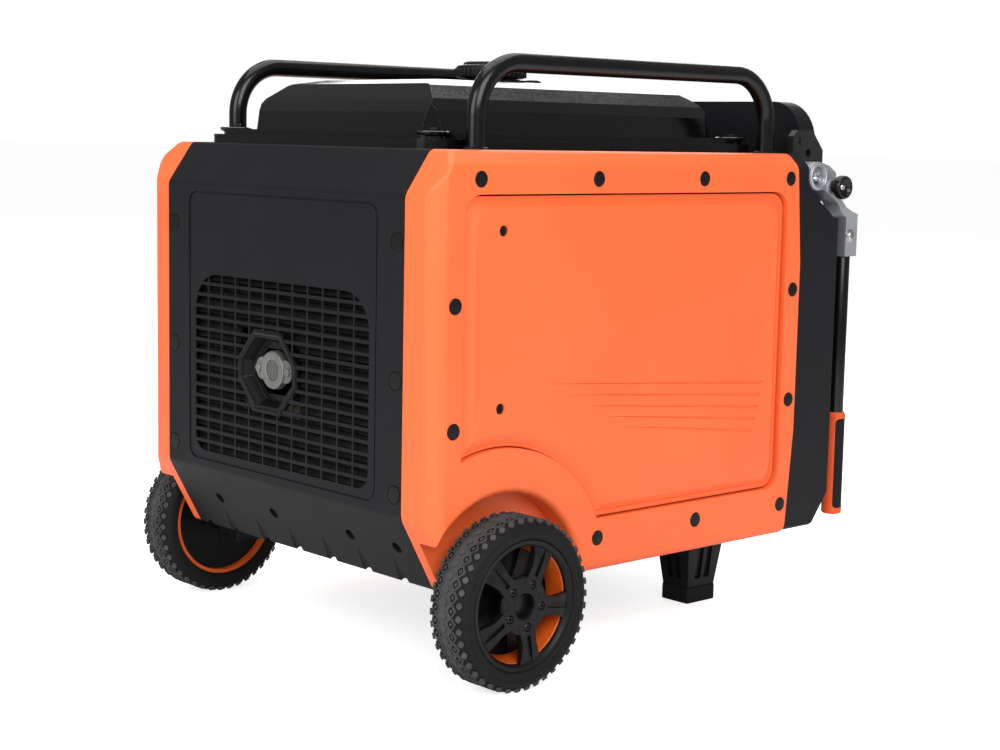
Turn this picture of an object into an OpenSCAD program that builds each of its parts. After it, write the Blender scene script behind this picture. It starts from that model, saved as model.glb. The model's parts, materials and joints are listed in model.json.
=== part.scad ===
// Closed-frame portable generator: two wheels and two feet, folding tow
// handles, lifting bars, moulded panels round an engine and alternator set.
// Working frame of the modules: x = 0 at the wheel axle, y = 0 at the middle,
// z = 0 on the floor. placed() moves it to the middle of the whole object.

/* [Body] */
// Distance from the axle forward to the grille face
grille_x = 113; // [108:1:130]
// Distance from the axle back to the rim of the control end
control_x = 612; // [606:1:616]
// Half width over the main faces of the side panels
side_y = 291; // [285:1:310]
// Half width of the black end, where it meets the side panels
end_y = 241; // [238:1:246]
// Height of the lower edge of the panels
body_z0 = 112; // [108:1:118]
// Height of the top edge of the side panels
body_z1 = 617; // [600:1:700]
// Thickness of the moulded panels
wall = 3; // [2.5:0.1:4]
// Gap between neighbouring panels
seam = 0.6; // [0.4:0.1:1]

/* [Wheels] */
// Outer radius of the tyre
wheel_r = 101.6; // [95:0.1:103]
// Width of the tyre
tyre_w = 58; // [50:1:60]
// Radius of the rim seat
rim_r = 77; // [70:1:80]
// Distance from the middle to the outer face of the tyre
wheel_y = 332; // [330:1:345]
// Radius of the axle
axle_r = 8; // [6:0.5:10]
// Radius of the wheel arch
arch_r = 124; // [118:1:130]
// Radial running clearance of every turning fit
fit = 0.05; // [0.02:0.01:0.1]

/* [Feet] */
// Distance from the axle to the middle of the feet
foot_x = 480; // [440:5:520]
// Half distance between the two feet
foot_y = 149; // [120:1:180]
// Height of the rubber pad
pad_h = 22; // [16:1:28]

/* [Lifting handles] */
// Tube radius of the lifting handles
lift_r = 11.5; // [10:0.5:13]
// Half distance between the two lifting handles
lift_y = 238; // [234:1:240]
// Position of the leg nearest the grille
lift_x0 = -8; // [-20:1:10]
// Position of the leg nearest the controls
lift_x1 = 502; // [480:1:510]
// Height of the middle of the lifting bar
lift_z = 717; // [700:1:740]
// Bend radius of the lifting bar
lift_bend = 62; // [50:1:70]

/* [Tow handles] */
// Position of the pivot of the tow arm
pivot_x = 552; // [550:1:556]
// Height of the pivot of the tow arm
pivot_z = 588; // [580:1:600]
// Position of the tow tube when it hangs
tow_x = 627; // [627:1:640]
// Half distance between the two tow tubes
tow_y = 277; // [274:1:280]
// Radius of the tow tube
tow_r = 10.5; // [10:0.1:10.8]
// Height of the lower end of the tow grip
tow_z0 = 124; // [110:1:200]
// Length of the tow grip
grip_len = 142; // [110:1:150]

/* [Service door] */
// Near edge of the service door
door_x0 = -66; // [-68:1:-60]
// Far edge of the service door
door_x1 = 486; // [480:1:488]
// Lower edge of the service door
door_z0 = 180; // [178:1:190]
// Upper edge of the service door
door_z1 = 566; // [560:1:567]
// Gap round the service door
door_gap = 2; // [1.5:0.1:2.5]

/* [Tank] */
// Height of the top of the tank
tank_z1 = 701; // [685:1:706]
// Half width of the tank
tank_y = 180; // [160:1:184]
// Radius of the fuel cap
cap_r = 48; // [40:1:52]
// Position of the fuel cap
cap_x = 226; // [180:1:300]

/* [Hidden] */
$fn = 48;
touch = 0.3;              // gap between bodies that move past each other
big = 2000;               // longer than any cut needs
corner_in = 15;           // bevel between an end and the main side face
end_band = 3;             // slope of the panel's band on the end face
top_bevel = 17;           // bevel between the main side face and the top
bot_bevel = 8;            // bevel between the main side face and the bottom
slope_top = 36;           // setback of the end's upper slope
slope_drop = 51;          // height of the end's upper slope
slope_bot = 50;           // setback of the end's lower slope
slope_rise = 90;          // height of the end's lower slope
split_x = 520;            // where the side panels meet the control shell, at mid height
split_x_end = 508;        // the same at the top and bottom
shoulder_y = 250;         // half width of the control shell above its shoulders
shoulder_z = 548;         // height of the shoulders' outer edge
hood_z = 686;             // height of the hood over the controls
well_y = side_y - 35;     // inner wall of the wheel wells
tyre_in = wheel_y - tyre_w;
clevis_h = 56;
plug_proud = 0.8;         // how far the caps stand out of the grille end
arm_heel = 13.8;          // from the tube's axis to the back of the arm
x_min = -grille_x - plug_proud;
grip_t = 3.3;             // wall of the tow grip's sleeve
x_max = tow_x + max(arm_heel, tow_r + grip_t);
mid_x = (x_min + x_max) / 2;

module placed() {
  translate([-mid_x, 0, 0])
    children();
}

module mirror_y(on) {
  if (on)
    mirror([0, 1, 0])
      children();
  else
    children();
}

// Points of a rectangle with round corners, centred
function rr(w, h, r, n = 6) = [
  for (c = [0:3], i = [0:n])
    let (a = 90 * c + 90 * i / n,
         cx = (c == 0 || c == 3 ? 1 : -1) * (w / 2 - r),
         cy = (c < 2 ? 1 : -1) * (h / 2 - r))
      [cx + r * cos(a), cy + r * sin(a)]
];

// A round-cornered block between two corners, its round edges along axis
module rbox(lo, hi, r, axis = "z") {
  s = hi - lo;
  m = (lo + hi) / 2;
  translate(m) {
    if (axis == "z")
      linear_extrude(s.z, center = true)
        polygon(rr(s.x, s.y, r));
    if (axis == "y")
      rotate([90, 0, 0])
        linear_extrude(s.y, center = true)
          polygon(rr(s.x, s.z, r));
    if (axis == "x")
      rotate([90, 0, 90])
        linear_extrude(s.x, center = true)
          polygon(rr(s.y, s.z, r));
  }
}

module box(lo, hi) {
  translate(lo)
    cube(hi - lo);
}

// A cylinder along Y from y0 to y1
module ycyl(x, z, r, y0, y1) {
  translate([x, y0, z])
    rotate([-90, 0, 0])
      cylinder(r = r, h = y1 - y0);
}

// A cylinder along X from x0 to x1
module xcyl(y, z, r, x0, x1) {
  translate([x0, y, z])
    rotate([0, 90, 0])
      cylinder(r = r, h = x1 - x0);
}

// Side profile of the body, d inside the outer skin
module side_profile(d, x1) {
  rotate([90, 0, 0])
    linear_extrude(big, center = true)
      polygon([
        [-grille_x + d, body_z0 + slope_rise + d / 2],
        [-grille_x + d, body_z1 - slope_drop - d / 2],
        [-grille_x + slope_top + d / 2, body_z1 - d],
        [x1, body_z1 - d],
        [x1, body_z0 + d],
        [-grille_x + slope_bot + d / 2, body_z0 + d]
      ]);
}

// Plan of the body, d inside the outer skin
module plan_profile(d, x1) {
  for (s = [-1, 1])
    linear_extrude(big)
      polygon([
        [-grille_x + d, 0],
        [-grille_x + d, s * (end_y - d)],
        [-grille_x + end_band + d, s * (side_y - corner_in - d / 2)],
        [-grille_x + end_band + corner_in + d / 2, s * (side_y - d)],
        [x1, s * (side_y - d)],
        [x1, 0]
      ]);
}

// Section of the body across Y, d inside the outer skin
module end_profile(d) {
  rotate([90, 0, 90])
    linear_extrude(big, center = true)
      polygon([
        [-side_y + d, body_z0 + bot_bevel + d / 2],
        [-side_y + bot_bevel + d / 2, body_z0 + d],
        [side_y - bot_bevel - d / 2, body_z0 + d],
        [side_y - d, body_z0 + bot_bevel + d / 2],
        [side_y - d, body_z1 - top_bevel - d / 2],
        [side_y - top_bevel - d / 2, body_z1 - d],
        [-side_y + top_bevel + d / 2, body_z1 - d],
        [-side_y + d, body_z1 - top_bevel - d / 2]
      ]);
}

// The whole outer form forward of x1, d inside the outer skin
module body_form(d, x1) {
  intersection() {
    side_profile(d, x1);
    plan_profile(d, x1);
    end_profile(d);
  }
}

// Everything forward of the seam between side panel and control shell
module split_zone(gap) {
  mid = (body_z0 + body_z1) / 2;
  rotate([90, 0, 0])
    linear_extrude(big, center = true)
      polygon([
        [-big, -big], [split_x_end - gap, -big], [split_x_end - gap, body_z0],
        [split_x - gap, mid - 110], [split_x - gap, mid + 110],
        [split_x_end - gap, body_z1], [split_x_end - gap, big], [-big, big]
      ]);
}

// ---- chassis ----
tray_t = 3;
tray_z = body_z0 + wall + 1;
tray_x0 = -grille_x + slope_bot + 8;
tray_x1 = control_x - 60;
tray_y = end_y - 13;
bracket_y = 205;
rail_h = 24;

// Pressed steel tray with turned-up sides and axle brackets
module base_tray() {
  color("dimgray")
    placed()
      difference() {
        union() {
          box([tray_x0, -tray_y, tray_z], [tray_x1, tray_y, tray_z + tray_t]);
          for (s = [-1, 1]) {
            box([tray_x0, s * tray_y - tray_t / 2, tray_z], [tray_x1, s * tray_y + tray_t / 2, tray_z + rail_h]);
            box([-30, s * bracket_y - 3, wheel_r - 16], [30, s * bracket_y + 3, tray_z + 1]);
          }
        }
        ycyl(0, wheel_r, axle_r, -big, big);
        for (x = [lift_x0, lift_x1], s = [-1, 1])
          translate([x, s * lift_y, 0])
            cylinder(r = lift_r + 0.3, h = tray_z + rail_h + 1);
      }
}

// Steel axle, right through both wheels
module axle() {
  color("silver")
    placed()
      ycyl(0, wheel_r, axle_r, -wheel_y + 14, wheel_y - 14);
}

// Lock nuts on the ends of the axle
module axle_nuts() {
  color("silver")
    placed()
      for (s = [-1, 1])
        translate([0, s * (wheel_y - 20), wheel_r])
          rotate([90, 0, 0])
            difference() {
              cylinder(r = 13, h = 8, center = true, $fn = 6);
              cylinder(r = axle_r, h = 12, center = true);
            }
}

// A block whose sides lean in from size a at z1 to size b at z0
module taper(a, b, z0, z1) {
  intersection() {
    rotate([90, 0, 0])
      linear_extrude(a.y + 2, center = true)
        polygon([[-b.x / 2, z0], [b.x / 2, z0], [a.x / 2, z1], [-a.x / 2, z1]]);
    rotate([90, 0, 90])
      linear_extrude(a.x + 2, center = true)
        polygon([[-b.y / 2, z0], [b.y / 2, z0], [a.y / 2, z1], [-a.y / 2, z1]]);
  }
}

// Tapered plastic legs with ribbed pockets
module foot_legs() {
  color("#222226")
    placed()
      for (s = [-1, 1])
        translate([foot_x, s * foot_y, 0])
          difference() {
            taper([78, 68], [50, 42], 6, tray_z - 0.5);
            for (k = [-1, 1], side = [-1, 1]) {
              translate([k * 10, side * 36, 60])
                box([-7, -9, -34], [7, 9, 34]);
              translate([side * 40, k * 9, 60])
                box([-9, -6, -34], [9, 6, 34]);
            }
          }
}

// Rubber pads that cup the legs
module foot_pads() {
  color("#1b1b1d")
    placed()
      for (s = [-1, 1])
        translate([foot_x, s * foot_y, 0])
          difference() {
            rbox([-28.5, -24.5, 0], [28.5, 24.5, pad_h], 4);
            taper([78, 68], [50, 42], 6, tray_z - 0.5);
          }
}

// ---- engine and generator set ----
crank_z = 250;
crank_y = -10;
crank_r = 14;
block_x0 = 0;
block_x1 = 235;
stator_x0 = 262;
stator_x1 = 352;

// Cast crankcase with cooling fins and a cylinder, on rubber-mounted feet
module engine_block() {
  color("#8d9094")
    placed()
      difference() {
        union() {
          rbox([block_x0, -110, 175], [block_x1, 95, 330], 18, "x");
          for (x = [block_x0 + 10, block_x1 - 45], y = [-100, 60])
            box([x, y, tray_z + tray_t], [x + 35, y + 30, 180]);
          xcyl(crank_y, crank_z, 62, block_x1 - 1, block_x1 + 14);
          box([55, 60, 290], [165, 100, 350]);
          for (i = [0:7])
            rbox([45, 20, 335 + i * 12], [175, 140, 341 + i * 12], 14);
          rbox([65, 40, 325], [155, 120, 430], 10);
        }
        xcyl(crank_y, crank_z, crank_r + fit, block_x1 - 60, block_x1 + 20);
      }
}

// Cylinder head and rocker cover
module cylinder_head() {
  color("#a5a8ab")
    placed() {
      rbox([50, 25, 430.5], [170, 135, 462], 12);
      rbox([62, 38, 462], [158, 122, 492], 14);
    }
}

// Box silencer behind the grille, with its tail pipe
module muffler() {
  color("#6f6a63")
    placed() {
      rbox([-88, -160, 270], [-28, 160, 425], 26, "x");
      xcyl(13, 344, 19, -grille_x + 13, -87);
      rbox([-29, 70, 360], [block_x0 + 44.9, 104, 394], 8, "x");
    }
}

// Air filter housing with its clipped lid
module air_filter() {
  color("#2b2b2e")
    placed() {
      rbox([40, -190, 380], [190, -92, 470], 16);
      rbox([36, -194, 470], [194, -88, 488], 18);
    }
}

// Carburettor between the filter and the cylinder
module carburettor() {
  color("#b9bcbf")
    placed() {
      ycyl(100, 420, 17, -91.5, 19.5);
      translate([100, -40, 372])
        cylinder(r = 22, h = 34);
      rbox([78, -62, 404], [122, -18, 436], 6);
    }
}

// Wound stator in its end bell
module stator() {
  color("#9a9da0")
    placed()
      difference() {
        union() {
          xcyl(crank_y, crank_z, 125, stator_x0, stator_x1);
          for (y = [-110, 60])
            box([stator_x0 + 5, y, tray_z + tray_t], [stator_x1 - 5, y + 30, 190]);
        }
        xcyl(crank_y, crank_z, 96, stator_x0 - 1, stator_x1 + 1);
      }
}

// Rotor drum with magnets, on the crankshaft's tapered end
module rotor() {
  color("#77797c")
    placed() {
      difference() {
        xcyl(crank_y, crank_z, 94, stator_x0 + 4, stator_x1 - 4);
        xcyl(crank_y, crank_z, 70, stator_x0 + 20, stator_x1);
      }
      xcyl(crank_y, crank_z, crank_r, block_x1 - 55, stator_x1 + 60);
    }
}

// Cooling fan on the free end of the shaft
module cooling_fan() {
  color("#303034")
    placed()
      translate([stator_x1 + 22, crank_y, crank_z])
        rotate([0, 90, 0])
          difference() {
            union() {
              cylinder(r = 34, h = 26);
              for (i = [0:8])
                rotate([0, 0, i * 40])
                  translate([30, 0, 13])
                    rotate([28, 0, 0])
                      translate([0, -2, -11])
                        cube([82, 4, 22]);
            }
            translate([0, 0, -5])
              cylinder(r = crank_r, h = 60);
          }
}

// Inverter in a finned aluminium box
module inverter_module() {
  color("#b4b7ba")
    placed() {
      rbox([440, -190, 150], [488, 190, 300], 6, "y");
      for (i = [0:11])
        box([426, -182 + i * 32, 156], [440.5, -178 + i * 32, 294]);
    }
}

// Starter battery
module battery() {
  color("#26262a")
    placed() {
      rbox([250, 120, tray_z + tray_t], [400, 205, tray_z + tray_t + 118], 5);
      for (x = [268, 382])
        translate([x, 162, tray_z + tray_t + 117])
          cylinder(r = 7, h = 12);
    }
}

// ---- grille end ----
grid_y = 179;             // half width of the open lattice
grid_z0 = 225;
grid_z1 = 452;
grid_cols = 12;
grid_rows = 14;
grid_bar = 4;
port_y = 22;
port_z = 340;
outlet_y = 13;
outlet_z = 344;
inner_y = 193;            // half width of the recessed field
inner_z0 = 213;
inner_z1 = 556;

// Outline of the exhaust port, an oval with flattened sides
module port_shape(d) {
  translate([port_y, port_z])
    polygon(rr(106 + 2 * d, 84 + 2 * d, 30, 5));
}

// Moulded end with the lattice, the port and the sloped edges
module grille_panel() {
  pitch_y = (2 * grid_y + grid_bar) / grid_cols;
  pitch_z = (grid_z1 - grid_z0 + grid_bar) / grid_rows;
  depth = 12;
  color("#2a2a2e")
    placed()
      difference() {
        intersection() {
          body_form(0, -grille_x + 75);
          box([-grille_x - 1, -end_y + seam, 0], [-grille_x + 75, end_y - seam, big]);
        }
        intersection() {
          body_form(wall, -grille_x + 76);
          box([-grille_x + wall, -end_y + 2 * wall, 0], [-grille_x + 76, end_y - 2 * wall, big]);
        }
        box([-grille_x + 40, -big, body_z1 - 30], [big, big, big]);
        box([-grille_x + 52, -big, -1], [big, big, body_z0 + 20]);
        rbox([-grille_x - 1, -inner_y, inner_z0], [-grille_x + 1.5, inner_y, inner_z1], 14, "x");
        translate([-grille_x - 1, 0, 0])
          rotate([90, 0, 90])
            linear_extrude(depth)
              difference() {
                for (i = [0:grid_cols - 1], j = [0:grid_rows - 1])
                  translate([-grid_y + i * pitch_y, grid_z0 + j * pitch_z])
                    square([pitch_y - grid_bar, pitch_z - grid_bar]);
                port_shape(6);
              }
        translate([-grille_x - 1, 0, 0])
          rotate([90, 0, 90])
            linear_extrude(depth)
              port_shape(0);
        for (y = [-150, -105, -60, -15, 30, 75, 120, 165])
          translate([-grille_x + 20, y, 165])
            rotate([0, -29, 0])
              translate([-8, 0, 0])
                cube([8, 14, 60], center = true);
      }
}

// Spark arrester, its flange and the two screws that hold it
module exhaust_outlet() {
  face = -grille_x + 2;
  color("silver")
    placed()
      difference() {
        union() {
          xcyl(outlet_y, outlet_z, 24, face, face + 10.5);
          rbox([face + 4, outlet_y - 37, outlet_z - 14], [face + 9, outlet_y + 37, outlet_z + 14], 13, "x");
          for (s = [-1, 1])
            xcyl(outlet_y + s * 27, outlet_z, 5, face - 1, face + 6);
        }
        xcyl(outlet_y, outlet_z, 13, face - 2, face + 12);
      }
}

// ---- side panels and service door ----
door_in = 6;              // how far the door's edge lies inside the main face
field_in = 24;            // from the door's edge to its raised field
hinge_pin_r = 1.5;
hinge_x = door_x1 - 17;
hinge_y = side_y - door_in - wall - 2.9;
hinge_zs = [door_z0 + 62, door_z1 - 62];
eye_h = 18;
ear_r = 2.6;
plug_r = 9.5;
end_plug_r = 10.5;
top_plug_z = 585;
plug_xz = [
  for (x = [-45, 140, 326, 494]) [x, top_plug_z],
  for (x = [153, 329, 497]) [x, 154],
  for (z = [294, 440]) [506, z],
  for (z = [305, 445]) [-80, z]
];
screw_xz = [for (z = [325, 527]) [-10, z]];

// Outline of the door in X and Z, grown by d, hinge side by d + extra
module door_shape(d, extra = 0) {
  difference() {
    translate([(door_x0 + door_x1 + extra) / 2, (door_z0 + door_z1) / 2])
      polygon(rr(door_x1 - door_x0 + 2 * d + extra, door_z1 - door_z0 + 2 * d, 22));
    translate([-8, 103])
      circle(r = 178 - d, $fn = 96);
  }
}

// A shape drawn in X and Z, standing between y0 and y1
module slab_y(y0, y1) {
  translate([0, y1, 0])
    rotate([90, 0, 0])
      linear_extrude(y1 - y0)
        children();
}

// One side panel on the -Y side, with its wheel well
module side_shell(with_door) {
  well_r = arch_r;
  difference() {
    union() {
      difference() {
        intersection() {
          body_form(0, split_x + 5);
          split_zone(seam / 2);
          box([-big, -big, 0], [big, -end_y - seam / 2, big]);
        }
        body_form(wall, split_x + 6);
        box([-60, -lift_y - lift_r - 3, body_z1 - 8], [big, 0, big]);
      }
      intersection() {
        ycyl(2, wheel_r, well_r + wall, -side_y, -well_y + wall);
        body_form(0, split_x);
      }
      if (with_door)
        slab_y(-side_y + wall - 0.5, -side_y + door_in + 2 * wall)
          difference() {
            door_shape(door_gap + wall, 1.5);
            door_shape(door_gap, 1.5);
          }
    }
    ycyl(2, wheel_r, well_r, -side_y - 1, -well_y);
    ycyl(0, wheel_r, axle_r + 4, -big, 0);
    if (with_door)
      slab_y(-side_y - 1, -side_y + door_in + 2 * wall + 1)
        door_shape(door_gap, 1.5);
    for (p = plug_xz)
      ycyl(p.x, p.y, plug_r, -side_y - 1, -side_y + wall + 1);
  }
}

// Near side panel, with the service opening
module side_panel_left() {
  color("#ff6a2b")
    placed()
      side_shell(true);
}

// Far side panel, closed
module side_panel_right() {
  color("#ff6a2b")
    placed()
      mirror_y(true)
        side_shell(false);
}

// Round caps over the panel screws
module panel_plugs() {
  color("#26262a")
    placed() {
      for (s = [-1, 1], p = plug_xz)
        translate([p.x, s * (side_y - 1), p.y])
          rotate([90, 0, 0])
            cylinder(r = plug_r - 0.1, h = 4, center = true);
      for (s = [-1, 1], z = [228, 358, 514])
        xcyl(s * 228, z, end_plug_r - 0.1, -grille_x - plug_proud, -grille_x);
    }
}

// Removable door over the oil filler and air filter
module service_door() {
  color("#ff6a2b")
    placed()
      difference() {
        union() {
          slab_y(-side_y + door_in, -side_y + door_in + wall)
            door_shape(0);
          slab_y(-side_y, -side_y + door_in + 0.5)
            difference() {
              translate([(door_x0 + door_x1) / 2 - 3, (door_z0 + door_z1) / 2])
                polygon(rr(door_x1 - door_x0 - 2 * field_in - 6, door_z1 - door_z0 - 2 * field_in + 10, 12));
              translate([-8, 103])
                circle(r = 178 + field_in, $fn = 96);
            }
          for (z = hinge_zs) {
            translate([hinge_x, -hinge_y, z - eye_h / 2])
              cylinder(r = 4.5, h = eye_h);
            box([hinge_x - 4, -side_y + door_in + 1, z - eye_h / 2], [hinge_x + 4, -hinge_y, z + eye_h / 2]);
          }
        }
        for (z = hinge_zs)
          translate([hinge_x, -hinge_y, z - eye_h])
            cylinder(r = hinge_pin_r + fit, h = 2 * eye_h);
        for (p = screw_xz) {
          ycyl(p.x, p.y, 3.3, -side_y - 1, -side_y + 20);
          ycyl(p.x, p.y, 7, -side_y - 1, -side_y + 4);
        }
        for (i = [0:4])
          translate([250 + i * 12, -side_y, 344 - i * 14])
            rotate([0, 3.2, 0])
              cube([400 - i * 46, 1.6, 4], center = true);
      }
}

// Captive screws of the service door
module door_screws() {
  color("#2a2a2e")
    placed()
      for (p = screw_xz)
        difference() {
          union() {
            ycyl(p.x, p.y, 6, -side_y + 1, -side_y + 4);
            ycyl(p.x, p.y, 3, -side_y + 3.9, -side_y + 22);
          }
          ycyl(p.x, p.y, 2.5, -side_y, -side_y + 3);
        }
}

// Steel bar behind the door that carries its hinge ears
module door_hinge_bar() {
  post_y = -hinge_y + 7;
  x0 = hinge_x - 20;
  x1 = hinge_x - 5;
  color("dimgray")
    placed()
      difference() {
        union() {
          box([x0, post_y, door_z0 - 26], [x1, post_y + 4, door_z1 + 26]);
          for (z = [door_z0 - 26, door_z1 + 12])
            box([x0, -side_y + wall, z], [x1, post_y + 1, z + 14]);
          for (z = hinge_zs, s = [-1, 1])
            translate([hinge_x, -hinge_y, z + s * (eye_h / 2 + 3.4)]) {
              cylinder(r = ear_r, h = 6, center = true);
              rotate([0, 0, 30])
                translate([-ear_r, 0, -3])
                  cube([2 * ear_r, 6, 6]);
              translate([x1 - hinge_x - 5, 4, -3])
                cube([11, 7, 6]);
            }
        }
        for (z = hinge_zs)
          translate([hinge_x, -hinge_y, z - eye_h])
            cylinder(r = hinge_pin_r, h = 2 * eye_h);
      }
}

// Hinge pins, pressed into the ears
module door_hinge_pins() {
  color("silver")
    placed()
      for (z = hinge_zs)
        translate([hinge_x, -hinge_y, z - eye_h / 2 - 7])
          cylinder(r = hinge_pin_r, h = eye_h + 14);
}

// ---- top ----
cover_z = 635;            // top of the cover's flange
cover_x0 = -68;
cover_x1 = 512;
cover_y = 222;
boss_x = -38;
boss_y = 198;
boss_xs = [boss_x, 478];

// Cover round the tank, with a corner boss for each bolt
module top_cover() {
  t = 4;
  color("#1d1d20")
    placed()
      difference() {
        union() {
          box([-grille_x + 41, -end_y + 1, body_z1 - wall], [split_x_end - 1, end_y - 1, body_z1]);
          box([-59, -lift_y - lift_r - 2, body_z1 - wall], [split_x_end - 1, lift_y + lift_r + 2, body_z1]);
          rbox([cover_x0, -cover_y, body_z1 - 1], [cover_x1 - 6, cover_y, cover_z], 26);
        }
        rbox([cover_x0 + t, -cover_y + t, body_z1 - 5], [cover_x1 - 6 - t, cover_y - t, cover_z - t], 22);
        rbox([-20, -tank_y + 6, 0], [462, tank_y - 6, big], 20);
        for (x = boss_xs, s = [-1, 1])
          translate([x, s * boss_y, 0])
            cylinder(r = 4, h = big);
        for (x = [lift_x0, lift_x1], s = [-1, 1])
          translate([x, s * lift_y, 0])
            cylinder(r = lift_r + 0.5, h = big);
      }
}

// Flanged bolts that hold the cover and tank
module cover_bolts() {
  color("#303034")
    placed()
      for (x = boss_xs, s = [-1, 1])
        translate([x, s * boss_y, 0]) {
          translate([0, 0, cover_z - 16])
            cylinder(r = 4, h = 17);
          translate([0, 0, cover_z])
            cylinder(r = 9, h = 2.5);
          translate([0, 0, cover_z + 2.4])
            cylinder(r = 6, h = 5, $fn = 6);
        }
}

neck_r = 30;
neck_z = tank_z1 + 8;

// Fuel tank: sloped shoulders, scalloped corners, filler neck
module fuel_tank() {
  tz = cover_z;
  color("#111114")
    placed()
      difference() {
        union() {
          intersection() {
            rotate([90, 0, 0])
              linear_extrude(big, center = true)
                polygon([
                  [-28, tz], [-24, tz + 22], [2, tank_z1 - 8], [40, tank_z1 - 2], [cap_x - 60, tank_z1],
                  [400, tank_z1], [452, tank_z1 - 14], [466, tz + 22], [474, tz]
                ]);
            rotate([90, 0, 90])
              linear_extrude(big, center = true)
                polygon([
                  [-tank_y, tz], [-tank_y + 6, tz + 34], [-tank_y + 60, tank_z1 - 3], [-tank_y + 100, tank_z1],
                  [tank_y - 100, tank_z1], [tank_y - 60, tank_z1 - 3], [tank_y - 6, tz + 34], [tank_y, tz]
                ]);
          }
          rbox([-18, -tank_y + 8, 545], [460, tank_y - 8, tz + 1], 18);
          translate([cap_x, 0, tank_z1 - 10])
            cylinder(r = neck_r, h = neck_z - tank_z1 + 10);
        }
        for (x = boss_xs, s = [-1, 1])
          translate([x, s * boss_y, tz - 1])
            cylinder(r = 34, h = big);
        translate([cap_x, 0, 600])
          cylinder(r = neck_r - 4, h = 200);
        difference() {
          rbox([-12, -tank_y + 14, 551], [454, tank_y - 14, tz - 6], 14);
          translate([cap_x, 0, 0])
            cylinder(r = neck_r - 5, h = 10);
        }
      }
}

// Ribbed screw cap with a skirt round the filler neck
module fuel_cap() {
  z0 = tank_z1 + 6;
  z1 = 728;
  color("#202024")
    placed()
      translate([cap_x, 0, 0])
        difference() {
          union() {
            translate([0, 0, z0])
              cylinder(r = cap_r - 2, h = z1 - z0 - 2);
            translate([0, 0, z1 - 2.1])
              cylinder(r = cap_r - 6, h = 2.1);
            for (i = [0:35])
              rotate([0, 0, i * 10])
                translate([cap_r - 3, -1.8, z0 + 1])
                  cube([3, 3.6, z1 - z0 - 6]);
          }
          translate([0, 0, z0 - 1])
            cylinder(r = neck_r + fit, h = 8.5);
        }
}

// Lever of the tank vent, a ring round the neck under the cap
module vent_lever() {
  color("#1a1a1d")
    placed()
      translate([cap_x, 0, tank_z1 + touch])
        difference() {
          union() {
            cylinder(r = neck_r + 10, h = 4.5);
            rbox([20, -11, 0], [cap_r + 38, 11, 4.5], 9);
          }
          translate([0, 0, -1])
            cylinder(r = neck_r + fit, h = 8);
        }
}

// One lifting hoop: bar, two quarter bends and two legs down to the tray
module lift_hoop() {
  b = lift_bend;
  for (x = [lift_x0, lift_x1])
    translate([x, 0, tray_z])
      cylinder(r = lift_r, h = lift_z - b - tray_z);
  xcyl(0, lift_z, lift_r, lift_x0 + b, lift_x1 - b);
  for (m = [[lift_x0 + b, 180], [lift_x1 - b, 90]])
    translate([m[0], 0, lift_z - b])
      rotate([90, 0, 0])
        rotate([0, 0, m[1] - 90])
          rotate_extrude(angle = 90)
            translate([b, 0])
              circle(r = lift_r);
}

module lift_handle_left() {
  color("#0e0e10")
    placed()
      translate([0, -lift_y, 0])
        lift_hoop();
}

module lift_handle_right() {
  color("#0e0e10")
    placed()
      translate([0, lift_y, 0])
        lift_hoop();
}

// ---- control end ----
face_x = control_x - 34;  // front of the control face
face_t = 4;
face_y = 226;
face_z0 = 180;
face_z1 = 600;
hood_x = 560;
hood_r = 48;
rim_pts = [
  [500, body_z0], [control_x - 52, body_z0], [control_x - 14, body_z0 + 48], [control_x, body_z0 + 146],
  [control_x, 480], [control_x - 10, shoulder_z], [control_x - 16, 580], [control_x - 24, hood_z],
  [hood_x, hood_z], [hood_x, body_z1], [500, body_z1]
];

// Outer form of the control end, d inside the skin
module control_form(d) {
  intersection() {
    rotate([90, 0, 0])
      linear_extrude(big, center = true)
        offset(delta = -d)
          polygon(rim_pts);
    union() {
      rotate([90, 0, 90])
        linear_extrude(big)
          polygon([
            [-side_y + d, body_z0 + bot_bevel], [-side_y + bot_bevel, body_z0 + d],
            [side_y - bot_bevel, body_z0 + d], [side_y - d, body_z0 + bot_bevel],
            [side_y - d, body_z1 - top_bevel], [side_y - top_bevel, body_z1 - d],
            [-side_y + top_bevel, body_z1 - d], [-side_y + d, body_z1 - top_bevel]
          ]);
      rbox([0, -shoulder_y + d, 300], [big, shoulder_y - d, hood_z - d], hood_r, "x");
    }
    for (s = [-1, 1])
      linear_extrude(big)
        polygon([
          [0, 0], [control_x, 0], [control_x, s * (side_y - corner_in)],
          [control_x - corner_in, s * side_y], [0, s * side_y]
        ]);
  }
}

// Moulded end with the hood; its shoulders are cut back for the tow arms
module control_shell() {
  rim = 10;
  color("#2a2a2e")
    placed()
      difference() {
        control_form(0);
        difference() {
          control_form(wall);
          box([face_x - 4, -big, 0], [big, big, big]);
        }
        rbox([face_x - 5, -shoulder_y + rim, face_z0 - 20], [big, shoulder_y - rim, hood_z - 12], 24, "x");
        box([-1, -big, body_z0 - 1], [face_x - 4, big, body_z0 + wall + 2]);
        intersection() {
          split_zone(-seam / 2);
          box([0, -big, 0], [big, big, body_z1 + 0.1]);
        }
        for (s = [-1, 1]) {
          translate([lift_x1, s * lift_y, 0])
            cylinder(r = lift_r + 0.5, h = big);
          rotate([90, 0, 0])
            translate([0, 0, s < 0 ? shoulder_y : -shoulder_y - 100])
              linear_extrude(100)
                polygon([
                  [530, body_z1 + 1], [530, 572], [590, 532], [big, 532], [big, body_z1 + 1]
                ]);
        }
      }
}

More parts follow.
